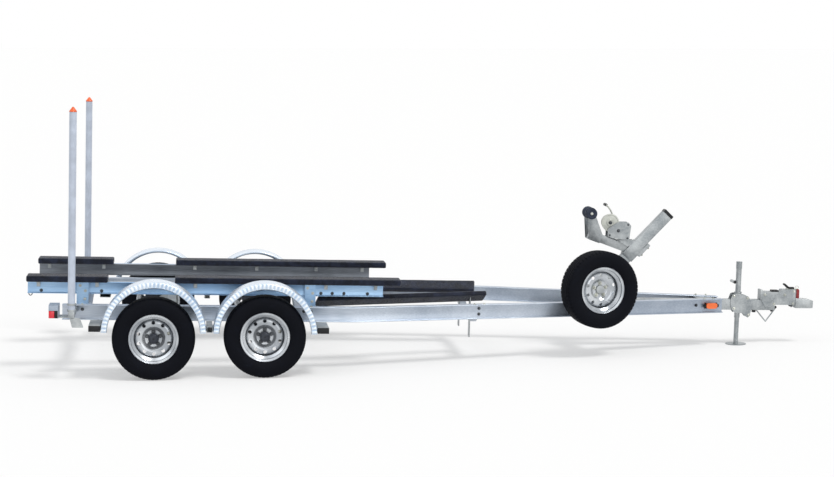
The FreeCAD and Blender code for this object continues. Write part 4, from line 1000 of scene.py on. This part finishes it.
railLow, railHigh = levelBox("bunk_rails")
beamHigh = levelBox("beam_left")[1]
stubLow = levelBox("fender_outriggers")[0]
railFace, beamFace, beamTop = railHigh.y, beamHigh.y, beamHigh.z
kneeX = max(spot.x for spot in spotsOf("beam_left", lambda spot: spot.y > beamFace - 0.001))
noseY = max(spot.y for spot in spotsOf("beam_left", lambda spot: spot.x > beamHigh.x - 0.001))
closeSlope = (beamFace - noseY) / (beamHigh.x - kneeX)
closeAngle = math.atan(closeSlope)
outward, upward, downward = (0, 1, 0), (0, 0, 1), (0, 0, -1)
fasteners = {"webDepth": 0.0375, "crossPlaces": (-1.09, 0.83), "stubPlaces": (-0.944, 0.0, 0.944),
             "railPlaces": (-1.42, -0.914, -0.20, 0.30, 0.960, 1.058, 1.160, 1.365), "railUp": 0.022,
             "flangeIn": 0.02, "flangeGap": 0.03, "bowPlaces": (2.35, 3.46, 4.56), "bowIn": 0.022,
             "bowGap": 0.045, "stubGap": 0.018,
             "footPlaces": ((-0.8995, -1), (-0.0205, 1), (0.0205, -1), (0.8995, 1)),
             "footReach": 0.02, "footShares": (0.25, 0.75), "footSink": 0.004, "webHigh": 0.525,
             "webPlaces": ((4.44, 0.51), (3.30, 0.51), (2.35, 0.53), (2.35, 0.48))}


def beamOuterAt(x):
    return beamFace - closeSlope * max(x - kneeX, 0)


def bothSides(places):
    return [((x, y * side, z), (a, b * side, c)) for x, y, z, (a, b, c) in places for side in (1, -1)]


def pairs(places, gap):
    return [place + shift for place in places for shift in (-gap, gap)]


def makeFasteners():
    web = fasteners["webDepth"]
    rails = [(x, railFace - web, railLow.z + fasteners["railUp"], outward) for x in fasteners["railPlaces"]]
    addBolts("rail_bolts", bothSides(rails), **darkSteel)
    flange = [(x, beamFace - fasteners["flangeIn"], beamTop, upward)
              for x in pairs(fasteners["crossPlaces"], fasteners["flangeGap"])]
    flange += [(x, beamOuterAt(x) - fasteners["bowIn"], beamTop, upward)
               for x in pairs(fasteners["bowPlaces"], fasteners["bowGap"])]
    addBolts("flange_bolts", bothSides(flange))
    under = [(x, beamFace - fasteners["flangeIn"], stubLow.z, downward)
             for x in pairs(fasteners["stubPlaces"], fasteners["stubGap"])]
    addBolts("outrigger_bolts", bothSides(under))
    feet = []
    for foot, toward in fasteners["footPlaces"]:
        low, high = levelBox("fender_brackets",
                             lambda spot: abs(spot.x - foot) < fasteners["footReach"] and spot.y > 0)
        edge = (low.x if toward < 0 else high.x) - toward * fasteners["footSink"]
        feet += [(edge, low.y + (high.y - low.y) * share, (low.z + high.z) / 2 - fasteners["footSink"],
                  (toward, 0, 0)) for share in fasteners["footShares"]]
    addBolts("fender_bolts", bothSides(feet))
    slanted = (math.sin(closeAngle), math.cos(closeAngle), 0)
    webs = [(x, beamOuterAt(x) - web, z, slanted) for x, z in fasteners["webPlaces"]]
    webs += [(x, beamFace - web, fasteners["webHigh"], outward)
             for x in pairs(fasteners["crossPlaces"], fasteners["flangeGap"])]
    addBolts("web_bolts", bothSides(webs), **darkSteel)


clip = {"places": (-1.44, -0.95, -0.12, 0.45, 1.0, 1.43), "half": 0.015, "leg": 0.042, "thick": 0.005,
        "gap": 0.0003, "sink": 0.0004, "flange": 0.08, "boltShare": 0.6}


def makeClips():
    shell = Shell("bunk_clips")
    bolts = []
    top = railHigh.z - clip["sink"]
    for x in clip["places"]:
        for side in (-1, 1):
            for face, out in ((railFace, 1), (railFace - clip["flange"], -1)):
                flipped = Matrix.Diagonal((1, side * out, 1, 1))
                frameOf = stance @ Matrix.Translation((x, side * face, top)) @ flipped
                for depth, reach in ((clip["thick"], clip["leg"]), (clip["leg"], clip["thick"])):
                    shell.box((-clip["half"], clip["gap"], -depth), (clip["half"], reach, 0), frameOf=frameOf)
                bolts.append(((x, side * (face + out * clip["leg"] * clip["boltShare"]), top - clip["thick"]),
                              downward))
    shell.add()
    addBolts("bunk_clip_bolts", bolts)


tieDown = {"rod": 0.004, "rear": -1.522, "drop": 0.022, "span": 0.03, "inset": 0.012, "up": 0.003,
           "steps": 10}


def makeTieDowns():
    shell = Shell("rail_tie_downs")
    for side in (-1, 1):
        loop = []
        for step in range(tieDown["steps"] + 1):
            angle = math.pi * step / tieDown["steps"]
            loop.append((tieDown["rear"] + tieDown["span"] * (0.5 - 0.5 * math.cos(angle)),
                         side * (railFace - tieDown["inset"]),
                         railLow.z + tieDown["up"] - tieDown["drop"] * math.sin(angle)))
        shell.rod(loop, tieDown["rod"], 10)
    shell.add(material=darkBolt)


makeFasteners()
makeClips()
makeTieDowns()
print("fasteners placed")


# Weld beads, one pattern swept along lines

def weldPattern():
    pattern = Pattern("weldBeads", {"Bead Radius": "NodeSocketFloat"})
    curve = pattern.node("GeometryNodeMeshToCurve", {}, {"Mesh": pattern.given("Geometry")})
    fine = pattern.node("GeometryNodeResampleCurve", {"mode": "LENGTH"}, {"Curve": curve, "Length": 0.0022})
    count = pattern.node("GeometryNodeInputIndex")
    ripple = (count * 2.1).math("SINE") * 0.16 + 1
    radius = pattern.node("GeometryNodeSetCurveRadius", {}, {"Curve": fine, "Radius": ripple})
    ring = pattern.node("GeometryNodeCurvePrimitiveCircle", {},
                        {"Resolution": 8, "Radius": pattern.given("Bead Radius")})
    swept = pattern.node("GeometryNodeCurveToMesh", {},
                         {"Curve": radius, "Profile Curve": ring, "Scale": ripple, "Fill Caps": True})
    pattern.close(swept)
    return pattern


weldBeads = weldPattern()
weld = {"radius": 0.0032, "stubHigh": 0.4395, "stubHalf": 0.046, "middleHalf": 0.023, "off": 0.001,
        "standHigh": 0.568, "standEnds": (3.402, 3.528), "standHalf": 0.036, "standSides": (3.40, 3.53),
        "standFace": 0.039, "tongueEnds": (4.83, 4.99), "tongueFace": 0.0385, "tongueHigh": 0.552}


def makeWelds():
    lines = []
    for side in (-1, 1):
        for place in fasteners["stubPlaces"]:
            half = weld["stubHalf"] if place else weld["middleHalf"]
            lines.append([(x, side * (beamFace + weld["off"]), weld["stubHigh"])
                          for x in (place - half, place + half)])
    for x in weld["standEnds"]:
        lines.append([(x, y, weld["standHigh"]) for y in (-weld["standHalf"], weld["standHalf"])])
    for side in (-1, 1):
        lines.append([(x, side * weld["standFace"], weld["standHigh"]) for x in weld["standSides"]])
        lines.append([(x, side * weld["tongueFace"], weld["tongueHigh"]) for x in weld["tongueEnds"]])
    points = [stance @ Vector(point) for line in lines for point in line]
    seed = bpy.data.meshes.new("weldLines")
    seed.from_pydata(points, [(first, first + 1) for first in range(0, len(points), 2)], [])
    slot = "galvanised_steel"
    mesh = weldBeads.grown(seed, Material=finishes[slot], **{"Bead Radius": weld["radius"]})
    addPiece("frame_welds", mesh, "chassis", slot, sharp=60)


makeWelds()
print("welds laid")


# Bow roller ends and stand cap

armTurn = Matrix.Rotation(math.radians(19.4), 4, "Y")
standTurn = Matrix.Rotation(-math.radians(47), 4, "Y")
bell = {"radius": 0.0505, "dish": 0.033, "floorWide": 0.029, "hub": 0.021, "inner": 0.0875, "right": 0.106,
        "left": 0.0925, "hollow": 0.004, "rounding": 0.0035, "pin": 0.008, "pinFrom": 0.07, "lap": 0.001,
        "cover": 0.012, "coverFoot": 0.0145}


def makeRollerEnds():
    bells, covers = Shell("roller_bells"), Shell("roller_hub_covers")
    lap = bell["lap"]
    for side, out in ((-1, bell["right"]), (1, bell["left"])):
        frameOf = aboutJoint("roller_spin") @ Matrix.Diagonal((1, side, 1, 1))
        inner, floor = bell["inner"], out - bell["hollow"]
        line = [(0, inner), (bell["radius"], inner), (bell["radius"], out), (bell["dish"], out),
                (bell["floorWide"], floor), (bell["hub"], floor), (0, floor)]
        bells.turned(profile(line, bell["rounding"]), frameOf, 64)
        pin = [(0, bell["pinFrom"]), (bell["pin"], bell["pinFrom"]), (bell["pin"], inner + lap)]
        bells.turned(pin, frameOf, 20)
        cover = [(0, out + lap), (bell["cover"], out + lap), (bell["coverFoot"], floor - lap)]
        covers.turned(profile(cover, 0.002, 3), frameOf, 40)
    bells.add("black_rubber", "bow_roller")
    covers.add("zinc_plate", "bow_roller")


standCap = {"skirt": 0.024, "crown": 0.0075, "halfWide": 0.0402, "halfTall": 0.0522, "edge": 0.004}


def makeStandCap():
    low, high = levelBox("black_caps", lambda spot: abs(spot.y) < 0.2)
    wide, tall = standCap["halfWide"], standCap["halfTall"]
    shell = Shell("stand_end_cap")
    shell.box((-standCap["skirt"], -wide, -tall), (standCap["crown"], wide, tall), standCap["edge"],
              stance @ Matrix.Translation((low + high) / 2) @ standTurn)
    shell.add("black_plastic")


# Winch: outlines and places in the level chassis, X and Z

winch = {"side": ((3.612, 1.1175), (3.7, 1.0985), (3.812, 1.089), (3.827, 1.218), (3.803, 1.25), (3.7, 1.25),
                  (3.612, 1.19)),
         "plate": 0.004, "floorInset": 0.001, "bolts": ((3.63, 1.132), (3.796, 1.106), (3.799, 1.23)),
         "foot": ((-0.006, -0.001), (0.128, 0.0045)), "footProud": 0.003,
         "gusset": ((3.7, 1.086), (3.735, 1.0875), (3.86, 1.0905), (3.872, 1.062), (3.8, 1.03)),
         "gussetFaces": (0.036, 0.0415), "bar": ((0.0, -0.082), (0.145, -0.0515)), "barHalf": 0.046,
         "barBolts": (0.03, 0.115), "barBoltSide": 0.03,
         "slope": (0.682, 0.731),      # cosine and sine of the stand's slope
         "rod": 0.0065, "rodSide": 0.0345,
         "rods": (((3.698, 1.083), (3.757, 1.0615)), ((3.768, 1.058), (3.83, 1.034)))}
drum = {"gear": 0.084, "gearThick": 0.006, "teeth": 40, "toothDeep": 0.005, "bore": 0.0085, "gearBore": 0.009,
        "barrel": 0.026, "flange": 0.07, "flangeThick": 0.004,
        "toothSteps": ((0.0, 0), (0.22, 0), (0.36, 1), (0.86, 1)),
        "webShares": ((0.84, 0), (0.81, 0.6), (0.42, 0.6), (0.39, 0))}
crank = {"path": ((3.7094, 1.1741), (3.7045, 1.228), (3.692, 1.285), (3.672, 1.334), (3.648, 1.371),
                  (3.6236, 1.395)),
         "out": 0.107, "lever": 0.0075, "bend": 0.02, "shaft": 0.008, "shaftFrom": -0.055, "shaftPast": 0.009,
         "boss": 0.0145, "bossHalf": 0.012, "pin": 0.005, "pinBack": 0.008, "pinFront": 0.093,
         "pinion": 0.015, "pinionTeeth": 10, "pinionBore": 0.007, "nutGap": 0.001,
         "grip": 0.0145, "gripWaist": 0.0115, "gripHalf": 0.0455, "gripMiddle": 0.0415, "gripSwell": 0.6}


def toothedWheel(shell, frameOf, radius, teeth, near, far, bore):
    rows = []
    for number in range(teeth):
        for share, root in drum["toothSteps"]:
            turn = math.tau * (number + share) / teeth
            edge = radius - drum["toothDeep"] * root
            line = [(bore, near), (edge, near), (edge, far)]
            line += [(radius * part, far + (near - far) * dip) for part, dip in drum["webShares"]]
            line.append((bore, far))
            rows.append([frameOf @ Vector((reach * math.cos(turn), y, reach * math.sin(turn)))
                         for reach, y in line])
    shell.grid(rows, around=True, along=True)


def makeDrum(side):
    gear = aboutJoint("drum_spin") @ Matrix.Diagonal((1, -1, 1, 1))
    inner, flange = side - drum["gearThick"], drum["flangeThick"] - side
    shell = Shell("toothed_drum")
    toothedWheel(shell, gear, drum["gear"], drum["teeth"], inner, side, drum["gearBore"])
    line = [(drum["bore"], inner), (drum["barrel"], inner), (drum["barrel"], flange),
            (drum["flange"], flange), (drum["flange"], -side), (drum["bore"], -side)]
    shell.turned(profile(line, 0.0012, 2), gear, 96, closed=True)
    shell.add("zinc_plate", "winch_drum", ("winch_drum",))


def makeCrank(side):
    shell = Shell("crank_lever")
    out = crank["out"]
    (hubX, hubZ), (tipX, tipZ) = crank["path"][0], crank["path"][-1]
    shell.rod(softened([(x, out, z) for x, z in crank["path"]], crank["bend"]), crank["lever"], 14)
    for x, z, rear, front, radius, sides in (
            (hubX, hubZ, crank["shaftFrom"], out + crank["shaftPast"], crank["shaft"], 20),
            (hubX, hubZ, out - crank["bossHalf"], out + crank["bossHalf"], crank["boss"], 24),
            (tipX, tipZ, out - crank["pinBack"], out + crank["pinFront"], crank["pin"], 16)):
        shell.rod([(x, rear, z), (x, front, z)], radius, sides)
    toothedWheel(shell, aboutJoint("crank_spin") @ Matrix.Diagonal((1, -1, 1, 1)), crank["pinion"],
                 crank["pinionTeeth"], side, side - drum["gearThick"], crank["pinionBore"])
    shell.add("zinc_plate", "winch_crank", ("winch_crank",))
    grip = Shell("crank_grip")
    half, wide, waist = crank["gripHalf"], crank["grip"], crank["gripWaist"]
    swell = half * crank["gripSwell"]
    line = [(0, -half), (waist, -half), (wide, -swell), (waist, 0), (wide, swell), (waist, half), (0, half)]
    middle = (tipX, out + crank["gripMiddle"], tipZ)
    grip.turned(profile(line, 0.006), stance @ Matrix.Translation(middle), 40)
    grip.add("black_plastic", "winch_crank")


def makeWinch():
    face = levelBox("winch_frame")[1].y
    side = levelBox("winch_drum")[1].y
    plate, (rear, front) = winch["plate"], winch["side"][:2]
    sides = Shell("winch_side_plates")
    sides.plates(winch["side"], face - plate, face)
    sides.plate((rear, front, (front[0], front[1] + plate), (rear[0], rear[1] + plate)),
                winch["floorInset"] - face, face - winch["floorInset"])
    sides.add("zinc_plate", replaced=("winch_frame",), material=finishes["galvanised_steel"], rounded=0.0009)
    makeDrum(side)
    makeCrank(side)
    places = [((x, turn * face, z), (0, turn, 0)) for turn in (-1, 1) for x, z in winch["bolts"]]
    addBolts("winch_bolts", places, material=darkBolt)
    drumAt = levelled @ Vector(joints["drum_spin"]["pos_m"])
    places = [((drumAt.x, turn * face, drumAt.z), (0, turn, 0)) for turn in (-1, 1)]
    addBolts("winch_axle_nuts", places, material=darkBolt)
    hubX, hubZ = crank["path"][0]
    places = [((hubX, -face - crank["nutGap"], hubZ), (0, -1, 0))]
    addBolts("crank_nut", places, "winch_crank", material=darkBolt)
    foot = Shell("winch_foot")
    (back, low), (ahead, high) = winch["foot"]
    proud = face + winch["footProud"]
    foot.box((back, -proud, low), (ahead, proud, high),
             frameOf=stance @ Matrix.Translation((rear[0], 0, rear[1])) @ armTurn)
    foot.add("zinc_plate", material=darkBolt)


def makeClamp():
    low, high = levelBox("winch_clamp")
    middle = (low + high) / 2
    half = winch["barHalf"]
    (back, under), (ahead, over) = winch["bar"]
    bar = Shell("clamp_bar")
    bar.box((back, -half, under), (ahead, half, over), 0.004, stance @ Matrix.Translation(middle) @ standTurn)
    bar.plates(winch["gusset"], *winch["gussetFaces"])
    for (startX, startZ), (endX, endZ) in winch["rods"]:
        for y in (-winch["rodSide"], winch["rodSide"]):
            bar.rod([(startX, y, startZ), (endX, y, endZ)], winch["rod"])
    bar.add()
    run, rise = winch["slope"]
    places = []
    for along in winch["barBolts"]:
        x, z = middle.x + run * along - rise * under, middle.z + rise * along + run * under
        places += [((x, y, z), (rise, 0, -run)) for y in (-winch["barBoltSide"], winch["barBoltSide"])]
    addBolts("clamp_bolts", places)


makeRollerEnds()
makeStandCap()
makeWinch()
makeClamp()
print("winch stand fitted")


# Plates on the rails, bands and feet at the guide posts, guards over the tail lamps

railPlate = {"spans": ((-1.118, -1.022), (0.818, 0.910)), "thick": 0.006, "slope": 0.024, "low": 0.515,
             "topBolts": ((-0.022, 0.03), (0.022, 0.075)), "lowBolt": (0.018, 0.582)}
postFit = {"band": 0.016, "thick": 0.0045, "gap": 0.0002, "bands": (0.002, 0.052), "footThick": 0.03,
           "foot": ((-1.141, 0.5), (-1.062, 0.5), (-1.036, 0.428), (-1.121, 0.428))}
lampGuard = {"high": 0.609, "thick": 0.003, "front": -1.2325, "gap": 0.0005}


def makeRailPlates():
    shell = Shell("rail_plates")
    bolts = []
    face = railFace + railPlate["thick"]
    for rear, front in railPlate["spans"]:
        shell.plates(((rear, railHigh.z), (rear, railLow.z), (rear + railPlate["slope"], railPlate["low"]),
                      (front, railPlate["low"]), (front, railHigh.z)), railFace, face)
        places = [(x, railHigh.z - below) for x, below in railPlate["topBolts"]] + [railPlate["lowBolt"]]
        bolts += [((rear + front) / 2 + x, face, z, outward) for x, z in places]
    shell.add("mill_aluminium", material=railSkyAndShadePaint, rounded=0.0016)
    addBolts("rail_plate_bolts", bothSides(bolts))


def makePostFittings():
    bands, feet = Shell("post_bands"), Shell("post_feet")
    for side in (-1, 1):
        low, high = levelBox("guide_posts", onSide(side))
        radius, y = (high.x - low.x) / 2, (low.y + high.y) / 2
        near, far = radius + postFit["gap"], radius + postFit["thick"]
        for lift in postFit["bands"]:
            foot = low.z + lift
            line = [(near, foot), (far, foot), (far, foot + postFit["band"]), (near, foot + postFit["band"])]
            bands.turned(profile(line, 0.0012, 2), upright((low.x + high.x) / 2, y, 0), 48)
        edges = (y + side * radius, y + side * (radius - postFit["footThick"]))
        feet.plate(postFit["foot"], min(edges), max(edges))
    bands.add()
    feet.add(rounded=0.002)


def makeLampGuards():
    shell = Shell("lamp_guards")
    thick, top, front = (lampGuard[key] for key in ("thick", "high", "front"))
    for side in (-1, 1):
        low, high = levelBox("tail_lamp_lenses", onSide(side))
        near, far = low.y - thick, high.y + thick
        shell.box((low.x, near, top - thick), (front, far, top))
        for y in (near, high.y):
            shell.box((low.x, y, high.z + lampGuard["gap"]), (front, y + thick, top - thick / 2))
        shell.box((front - thick, near, low.z), (front, far, top))
    shell.add(material=finishes["mill_aluminium"])


# Jack: outlines in the level chassis, X and Z

jack = {"cheek": ((4.796, 0.548), (4.8144, 0.598), (4.83, 0.606), (4.8712, 0.608), (4.9583, 0.584),
                  (4.978, 0.56), (4.9897, 0.5217), (4.9929, 0.4563), (4.982, 0.408), (4.9677, 0.386),
                  (4.95, 0.392), (4.93, 0.418), (4.9085, 0.4274), (4.8418, 0.4267), (4.815, 0.455),
                  (4.7983, 0.501)),
        "cheekThick": 0.0065, "strap": (4.815, 4.972), "strapThick": 0.006, "strapInset": 0.001,
        "strapSink": 0.0005, "bolts": ((4.826, 0.585), (4.957, 0.567), (4.972, 0.41), (4.83, 0.47)),
        "place": 4.874, "tube": 0.0251, "collars": ((0.607, 0.014, 0.0345), (0.835, 0.0625, 0.0275),
                                                    (0.895, 0.0055, 0.0285)),
        "knobOver": 0.001}


def makeJackBracket():
    face = levelBox("jack_bracket")[1].y
    cheeks = Shell("jack_cheeks")
    cheeks.plates(jack["cheek"], face - jack["cheekThick"], face)
    tubeLow, tubeHigh = levelBox("tongue_tube")
    (rear, front), thick, half = jack["strap"], jack["strapThick"], face - jack["strapInset"]
    for z in (tubeHigh.z - jack["strapSink"], tubeLow.z - thick):
        cheeks.box((rear, -half, z), (front, half, z + thick))
    cheeks.add(replaced=("jack_bracket",), rounded=0.0022)
    addBolts("jack_bolts", bothSides([(x, face, z, outward) for x, z in jack["bolts"]]))
    collars = Shell("jack_collars")
    tube = jack["tube"]
    for z, tall, radius in jack["collars"]:
        line = [(tube, z), (radius, z), (radius, z + tall), (tube, z + tall)]
        collars.turned(profile(line, 0.002, 3), upright(jack["place"], 0, 0), 48)
    collars.add()
    low, high = levelBox("jack_handle", lambda spot: spot.y < -0.06)
    wide, half = (high - low).x / 2 + jack["knobOver"], (high - low).y / 2 + jack["knobOver"]
    knob = Shell("jack_knob")
    knob.turned(profile([(0, -half), (wide, -half), (wide, half), (0, half)], 0.004),
                stance @ Matrix.Translation((low + high) / 2), 32)
    knob.add("black_plastic")


# Actuator case, latch and coupler fittings, X and Z in the level chassis

case = {"outline": ((5.095, 0.535), (5.095, 0.6265), (5.27, 0.6265), (5.286, 0.649), (5.413, 0.649),
                    (5.413, 0.507), (5.229, 0.507), (5.136, 0.476)),
        "rib": ((5.146, 0.483), (5.162, 0.483), (5.264, 0.611), (5.248, 0.611)), "rise": 0.003, "lap": 0.001,
        "collar": ((5.076, 0.551), (5.097, 0.646)),
        "latch": ((5.302, 0.694), (5.309, 0.703), (5.318, 0.702), (5.358, 0.669), (5.405, 0.669),
                  (5.405, 0.653), (5.35, 0.653)),
        "cap": ((5.186, 0.6265), (5.255, 0.6265), (5.252, 0.641), (5.189, 0.641)),
        "lever": ((5.4325, 0.565), (5.4555, 0.565), (5.4555, 0.641), (5.447, 0.652), (5.4325, 0.645)),
        "leverHalf": 0.0145, "capHalf": 0.026, "lug": ((5.016, 0.431), (5.046, 0.4565)), "lugHalf": 0.0165,
        "hook": ((5.193, 0, 0.442), (5.246, 0, 0.486)), "hookRadius": 0.011,
        "ring": (5.437, 0.667), "ringRadius": 0.014, "ringWire": 0.003,
        "bolts": ((5.39, 0.52), (5.31, 0.60), (5.12, 0.60), (5.395, 0.632), (5.21, 0.515)),
        "lowBolt": (5.381, 0.507), "lowBoltSide": 0.026}


def makeActuator():
    face = levelBox("surge_case")[1].y
    proud = face + case["rise"]
    body = Shell("pressed_case")
    body.plate(case["outline"], -face, face)
    body.plates(case["rib"], face - case["lap"], proud)
    (rear, low), (front, high) = case["collar"]
    body.box((rear, -proud, low), (front, proud, high))
    body.add(replaced=("surge_case",), rounded=0.0022)
    black = Shell("case_black_parts")
    half = case["leverHalf"]
    black.plate(case["latch"], -half, half)
    black.plate(case["cap"], -case["capHalf"], case["capHalf"])
    (rear, low), (front, high) = case["lug"]
    black.box((rear, -case["lugHalf"], low), (front, case["lugHalf"], high))
    black.rod(case["hook"], case["hookRadius"], 16)
    black.add("black_plastic", rounded=0.0015)
    lever = Shell("coupler_safety_lever")
    lever.plate(case["lever"], -half, half)
    lever.add("zinc_plate", material=redPaint, rounded=0.0015)
    ring = Shell("coupler_ring")
    x, z = case["ring"]
    ring.rod([(x + case["ringRadius"] * math.cos(angle), 0, z + case["ringRadius"] * math.sin(angle))
              for angle in np.linspace(0, math.tau, 25)], case["ringWire"], 8)
    ring.add("zinc_plate")
    addBolts("case_bolts", bothSides([(x, face, z, outward) for x, z in case["bolts"]]))
    x, z = case["lowBolt"]
    places = [((x, y, z), downward) for y in (-case["lowBoltSide"], case["lowBoltSide"])]
    addBolts("case_low_bolts", places, **darkSteel)


marker = {"endPlace": 0.064, "endHalf": (0.009, 0.011, 0.014), "endEdge": 0.004, "backHalf": 0.066,
          "backFaces": (0.010, 0.0145), "backHigh": 0.026, "backEdge": 0.002}


def makeLampFittings():
    shell = Shell("marker_lamp_bases")
    long, deep, high = marker["endHalf"]
    for side in (-1, 1):
        centre, directions = axesOf(spotsOf("marker_lamps", onSide(side)))[:2]
        along = directions[0] if directions[0].x > 0 else -directions[0]
        frameOf = stance @ Matrix.Translation(centre) @ Matrix.Rotation(math.atan2(along.y, along.x), 4, "Z")
        for place in (-marker["endPlace"], marker["endPlace"]):
            shell.box((place - long, -deep, -high), (place + long, deep, high), marker["endEdge"], frameOf)
        near, far = sorted(-side * face for face in marker["backFaces"])
        half, tall = marker["backHalf"], marker["backHigh"]
        shell.box((-half, near, -tall), (half, far, tall), marker["backEdge"], frameOf)
    shell.add("black_plastic")


makeRailPlates()
makePostFittings()
makeLampGuards()
makeJackBracket()
makeActuator()
makeLampFittings()
print("front fittings made")
